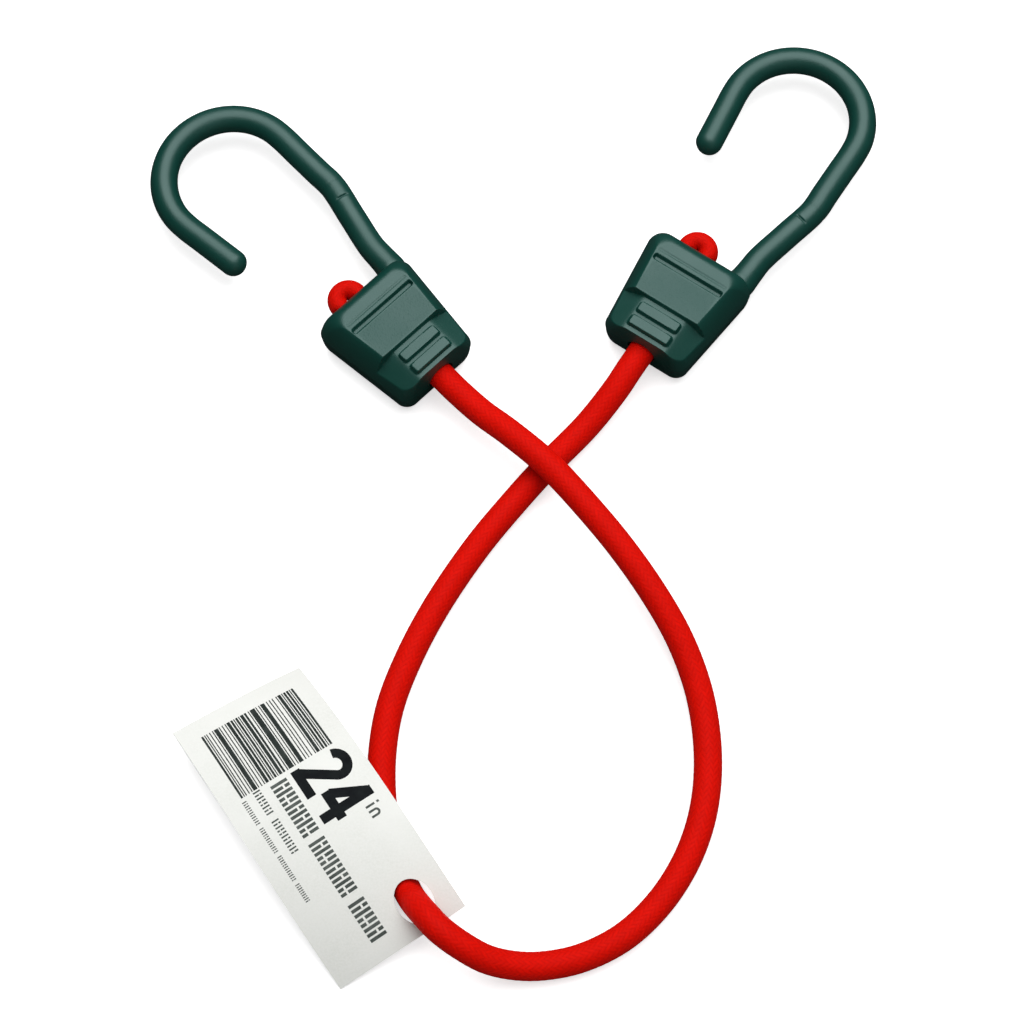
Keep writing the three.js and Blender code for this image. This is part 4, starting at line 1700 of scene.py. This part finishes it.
@dataclass
class Tag:
    """Curled card on the cord, with bars, a size and plain marks printed on it."""

    cord_diameter: float
    length: float = 0.0775
    width: float = 0.037
    thickness: float = 0.0005
    curl: float = 0.092
    skew: float = 36.5
    turn: float = 33.6
    hole_clearance: float = 0.0046
    hole_from_side: float = 0.0098
    hole_from_end: float = 0.0079
    hole_at: Pair = (-0.0247, -0.1071)
    hole_half_width: float = 0.0047
    punch_reach: float = 0.004
    ink: float = 0.00003
    cell: float = 0.0015
    card_points: tuple[int, int] = (25, 57)
    hole_points: int = 96
    bars_span: Pair = (0.0143, 0.0338)
    bars_across: Pair = (-0.0132, 0.0135)
    bar_widths: tuple[int, ...] = (
        2, 1, 1, 1, 1, 4, 1, 1, 1, 3, 2, 1, 2, 1, 3, 2, 1, 5, 1, 1, 4, 1, 1, 1, 1, 3, 1, 2, 2, 1, 2,
    )
    bar_gaps: tuple[int, ...] = (
        1, 1, 2, 2, 1, 1, 2, 2, 1, 1, 1, 1, 1, 1, 1, 2, 1, 1, 2, 1, 2, 2, 2, 3, 1, 1, 1, 1, 1, 1,
    )
    size_height: float = 0.0147
    size_weight: float = 0.00127
    size_foot: float = 0.0005
    size_start: float = 0.0132
    second_figure: float = 0.605
    stroke_lift: float = 0.000004
    unit_height: float = 0.0041
    unit_weight: float = 0.00029
    unit_place: Pair = (0.0113, -0.0044)
    mark_rows: tuple[MarkRow, ...] = (
        MarkRow(
            (-0.0057, -0.0011), ((0.0129, -0.0033), (-0.0048, -0.0208), (-0.0227, -0.034)), 0.00135, 0.62
        ),
        MarkRow((-0.0102, -0.0082), ((0.0139, 0.0066), (0.0051, -0.0049)), 0.00088, 0.45),
        MarkRow(
            (-0.0137, -0.0125), ((0.0132, 0.0061), (0.0052, -0.0022), (-0.0031, -0.0104), (-0.0113, -0.0166)),
            0.00062, 0.45,
        ),
    )
    uprights: tuple[Upright, ...] = (
        Upright.WHOLE, Upright.HIGH_GAP, Upright.WHOLE, Upright.LOW_GAP, Upright.LOW_GAP, Upright.WHOLE,
        Upright.HIGH_GAP,
    )

    def __post_init__(self) -> None:
        """Turn the card into place: its hole over its point on the plane, its lowest corners on the plane."""
        self.matrix = Matrix.Rotation(np.radians(self.turn), 4, "Z")
        corners = np.array([[x, y] for x in (-1, 1) for y in (-1, 1)]) * (self.width / 2, self.length / 2)
        turned = self._turned(self.curled(corners[:, 0], corners[:, 1], -self.thickness / 2))
        hole = self._turned(self.curled(*np.array(self.hole)[:, None], 0.0))[0]
        shift = (self.hole_at[0] - hole[0], self.hole_at[1] - hole[1], -turned[:, 2].min())
        self.matrix = Matrix.Translation(shift) @ self.matrix

    @property
    def hole(self) -> Pair:
        """The hole's place on the flat card."""
        return self.width / 2 - self.hole_from_side, -(self.length / 2 - self.hole_from_end)

    def _turned(self, points: Array) -> Array:
        """Points of the card's own frame in the part's frame."""
        matrix = np.array(self.matrix)
        return points @ matrix[:3, :3].T + matrix[:3, 3]

    def curled(self, x: Array, along: Array, out: Array | float) -> Array:
        """Bend the flat card down on both sides of an axis through its middle.

        With w the unit direction across that axis and t a place's distance along w, a place at a height h
        moves by ((R + h) sin(t / R) - t) along w, and to a height of (R + h) cos(t / R) - R.

        Args:
            x: Places across.
            along: Places along.
            out: Heights over the card's middle.

        Returns:
            Points in the card's own frame.
        """
        way = np.sin(np.radians(self.skew)), np.cos(np.radians(self.skew))
        distance = x * way[0] + along * way[1]
        radius = self.curl + out
        move = radius * np.sin(distance / self.curl) - distance
        height = radius * np.cos(distance / self.curl) - self.curl
        return np.stack(np.broadcast_arrays(x + move * way[0], along + move * way[1], height), axis=-1)

    def plate(self, shell: Shell, x: Array, along: Array, out: Pair) -> None:
        """Add a closed bent plate to a shell.

        Args:
            shell: Where it goes.
            x: Places across, rows by columns; columns turn left into rows as seen from the front.
            along: Places along, rows by columns.
            out: Its under and upper height over the card's middle.
        """
        rims = []
        for height, flip in zip(out, (True, False)):
            grid = shell.grid(self.curled(x, along, height), flip=flip, form=Form.SHEET)
            rims.append(np.concatenate([grid[0, :-1], grid[:-1, -1], grid[-1, :0:-1], grid[:0:-1, 0]]))
        shell.bridge(*rims)

    def card(self) -> Piece:
        """The card, bent and punched.

        Returns:
            The piece.
        """
        shell = Shell()
        half = self.thickness / 2
        x = np.linspace(-self.width / 2, self.width / 2, self.card_points[0])
        along = np.linspace(-self.length / 2, self.length / 2, self.card_points[1])
        self.plate(shell, *np.broadcast_arrays(x[None], along[:, None]), (-half, half))
        card = shell.build("tag_card")
        cosine, sine = round_section(self.hole_points)
        radius = (self.cord_diameter + self.hole_clearance) / 2
        rim = self.hole[0] + self.hole_half_width * cosine, self.hole[1] + radius * sine
        rings = np.stack([self.curled(*rim, out) for out in (-self.punch_reach, self.punch_reach)])
        work(card, closed_tube("punch", rings), Solid.CUT)
        finish_normals(card.data, SHARP_EDGE)
        card.data.transform(self.matrix)
        return card

    def _print(self, shell: Shell, x: Pair, along: Pair) -> None:
        """Print one plain rectangle.

        Args:
            shell: Where it goes.
            x: Its two sides across the card.
            along: Its two ends along the card.
        """
        cells = max(2, int((along[1] - along[0]) / self.cell))
        places = np.broadcast_arrays(np.array(x)[None], np.linspace(*along, cells)[:, None])
        self.plate(shell, *places, self._ink_heights())

    def _ink_heights(self, lift: float = 0.0) -> Pair:
        """Under and upper height of the ink over the card's middle."""
        face = self.thickness / 2
        return face - self.ink, face + self.ink + lift

    def bars(self, shell: Shell) -> None:
        """Print plain bars of invented widths across the far end.

        Args:
            shell: Where they go.
        """
        narrowest = (self.bars_across[1] - self.bars_across[0]) / (sum(self.bar_widths) + sum(self.bar_gaps))
        place = self.bars_across[0]
        for width, gap in zip(self.bar_widths, (*self.bar_gaps, 0)):
            self._print(shell, (place, place + width * narrowest), self.bars_span)
            place += (width + gap) * narrowest

    def lines(self, shell: Shell) -> None:
        """Print the rows of plain uprights.

        Args:
            shell: Where they go.
        """
        for row in self.mark_rows:
            for first, last in row.groups:
                self._uprights(shell, row, first, last)

    def _uprights(self, shell: Shell, row: MarkRow, first: float, last: float) -> None:
        """Print one group of uprights, some of them parted by a level gap.

        Args:
            shell: Where they go.
            row: Their row.
            first: Where the group starts along the card.
            last: Where it ends.
        """
        foot, top = row.across
        count = int(round((first - last) / row.pitch))
        step = (first - last) / count
        for mark in range(count):
            place = first - mark * step
            for span in self.uprights[mark % len(self.uprights)].value:
                low, high = (foot + (top - foot) * share for share in span)
                self._print(shell, (low, high), (place - row.fill * step, place))

    def figures(self, shell: Shell) -> None:
        """Print the size, 24: ribbons along the strokes of each figure.

        Args:
            shell: Where they go.
        """
        bow = arc((0.285, 0.735), (0.205, 0.185), 172.0, -38.0)
        two = np.vstack([bow, straight((0.4465, 0.6211), (0.075, 0.09))[1:]])
        strokes = (
            (two, 0.0),
            (straight((0.0, 0.078), (0.56, 0.078)), 0.0),
            (straight((0.37, 0.93), (0.06, 0.345)), self.second_figure),
            (straight((0.0, 0.313), (0.55, 0.313)), self.second_figure),
            (straight((0.385, 1.0), (0.385, 0.0)), self.second_figure),
        )
        place = self.size_foot, self.size_start
        for count, (line, shift) in enumerate(strokes):
            lift = self.stroke_lift * count
            self._stroke(shell, line + (shift, 0.0), self.size_height, self.size_weight, place, lift)

    def unit(self, shell: Shell) -> None:
        """Print the size's unit in small strokes beside it.

        Args:
            shell: Where they go.
        """
        bow = arc((0.63, 0.42), (0.18, 0.18), 180.0, 0.0, 14)
        legs = straight((0.45, 0.0), (0.45, 0.42), 6), straight((0.81, 0.42), (0.81, 0.0), 6)
        arch = np.vstack([legs[0], bow[1:], legs[1][1:]])
        for line in (straight((0.1, 0.0), (0.1, 0.6)), straight((0.1, 0.75), (0.1, 0.92)), arch):
            self._stroke(shell, line, self.unit_height, self.unit_weight, self.unit_place, 0.0)

    def _stroke(
        self, shell: Shell, line: Array, height: float, half: float, place: Pair, lift: float
    ) -> None:
        """Print one stroke as a closed ribbon.

        The stroke's edges lie half its width off its line, at right angles to it.

        Args:
            shell: Where it goes.
            line: The stroke's middle, by reading direction and height, for a figure of height 1.
            height: The figure's height.
            half: Half the stroke's width.
            place: The figure's foot across the card, and its start along it; it reads towards the hole end.
            lift: How far its face stands over the other strokes'.
        """
        line = line * height
        ahead = normalised(np.gradient(line, axis=0))
        across = np.stack([-ahead[:, 1], ahead[:, 0]], axis=1)
        edges = line[:, None] + across[:, None] * (half * np.array([1.0, 0.0, -1.0]))[:, None]
        self.plate(shell, place[0] + edges[..., 1], place[1] - edges[..., 0], self._ink_heights(lift))

    def build(self, finishes: Finishes) -> None:
        """Make the card and what is printed on it.

        Args:
            finishes: Materials.
        """
        card = self.card()
        dress(card, finishes.card, Slot.CARD, "tag")
        pieces = [card]
        for name, parts, ink in (
            ("tag_bars", (self.bars,), finishes.bars),
            ("tag_size", (self.figures,), finishes.ink),
            ("tag_lines", (self.lines, self.unit), finishes.grey),
        ):
            shell = Shell()
            for part in parts:
                part(shell)
            prints = shell.build(name)
            prints.data.transform(self.matrix)
            dress(prints, ink, Slot.CARD)
            pieces.append(prints)
        for piece in pieces:
            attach(piece, "tag")


# Studio


@dataclass(frozen=True)
class Lamp:
    """A square soft box, its size in metres and its power in watts."""

    name: str
    place: Triple
    size: float
    power: float


@dataclass
class Studio:
    """Camera at the photograph's angle, pale floor and soft light."""

    target: Triple = (-0.0007, -0.003, 0.0)
    elevation: float = 71.0
    distance: float = 0.75
    metres_per_pixel: float = 0.0002606
    pixels: int = 1024
    sensor: float = 36.0
    clip: Pair = (0.01, 20.0)
    floor_half: float = 3.0
    floor_height: float = -0.00005
    floor_tones: Pair = (0.90, 0.92)
    floor_bounce: float = 0.32
    floor_mirrored: float = 0.03
    floor_glow: float = 0.6
    sky: float = 0.21
    sky_mirrored: float = -0.19
    key: Lamp = Lamp("key", (0.12, 0.56, 1.32), 1.7, 28.0)
    fill: Lamp = Lamp("fill", (0.5, -0.9, 0.9), 1.2, 1.0)

    def camera(self) -> None:
        """Stand the camera and make it the scene's."""
        data = bpy.data.cameras.new("camera")
        data.sensor_width = self.sensor
        data.lens = self.sensor * self.distance / (self.metres_per_pixel * self.pixels)
        data.clip_start, data.clip_end = self.clip
        camera = show("camera", data)
        angle = np.radians(self.elevation)
        back = Vector((0.0, -np.cos(angle), np.sin(angle)))
        camera.location = Vector(self.target) + back * self.distance
        camera.rotation_euler = (-back).to_track_quat("-Z", "Y").to_euler()
        bpy.context.scene.camera = camera

    def floor(self) -> None:
        """Pale floor just under the part, lifted for the camera and duller for light that bounces off it."""
        side = np.linspace(-self.floor_half, self.floor_half, 3)
        points = np.stack(np.broadcast_arrays(side[None], side[:, None], self.floor_height), axis=-1)
        shell = Shell()
        shell.grid(points, form=Form.SHEET)
        floor = shell.build("floor")
        surface = Surface("pale_floor")
        path = surface.node("LightPath").outputs
        seen, mirrored = path["Is Camera Ray"], path["Is Glossy Ray"]
        tone = surface.noise(surface.place(), scale=1.5, detail=1.0)
        shade = surface.mix(tone, *map(grey, self.floor_tones))
        bounce = surface.mix(mirrored, grey(self.floor_bounce), grey(self.floor_mirrored))
        floor.data.materials.append(surface.finish({
            "Base Color": surface.mix(seen, bounce, shade),
            "Emission Color": WHITE,
            "Emission Strength": surface.math("MULTIPLY", seen, self.floor_glow),
            "Roughness": 0.9,
            "Specular IOR Level": 0.0,
        }))

    def lamp(self, lamp: Lamp) -> None:
        """Stand a soft box that faces the part.

        Args:
            lamp: Its place, size and power.
        """
        data = bpy.data.lights.new(lamp.name, "AREA")
        data.size = lamp.size
        data.energy = lamp.power
        stand = show(lamp.name, data)
        stand.location = lamp.place
        stand.rotation_euler = (Vector(self.target) - Vector(lamp.place)).to_track_quat("-Z", "Y").to_euler()

    def light(self) -> None:
        """Key from the far side, a weak fill from the near side, and a sky that is dimmer in reflections."""
        self.lamp(self.key)
        self.lamp(self.fill)
        world = bpy.data.worlds.new("sky")
        world.use_nodes = True
        graph = Graph(world.node_tree)
        mirrored = graph.node("LightPath").outputs["Is Glossy Ray"]
        strength = graph.math("MULTIPLY_ADD", mirrored, self.sky_mirrored, self.sky)
        graph.join(world.node_tree.nodes["Background"], {"Color": WHITE, "Strength": strength})
        bpy.context.scene.world = world
        bpy.context.scene.view_settings.view_transform = "Standard"


def grey(brightness: float) -> Colour:
    """Grey of one brightness."""
    return brightness, brightness, brightness, 1.0


def main() -> None:
    """Build the cord, the hooks and the tag in the studio, in that order."""
    logging.basicConfig(level=logging.INFO, format="%(name)s %(message)s")
    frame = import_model()
    studio = Studio()
    studio.camera()
    sizes, braid = HookSizes(), Braid()
    finishes = Finishes(braid)
    cord = Cord(sizes, braid)
    cord.build(finishes)
    Hook(sizes, CordEnd(sizes, braid)).build(finishes, frame["nodes"])
    Tag(cord.diameter).build(finishes)
    studio.floor()
    studio.light()


if __name__ == "__main__":
    main()
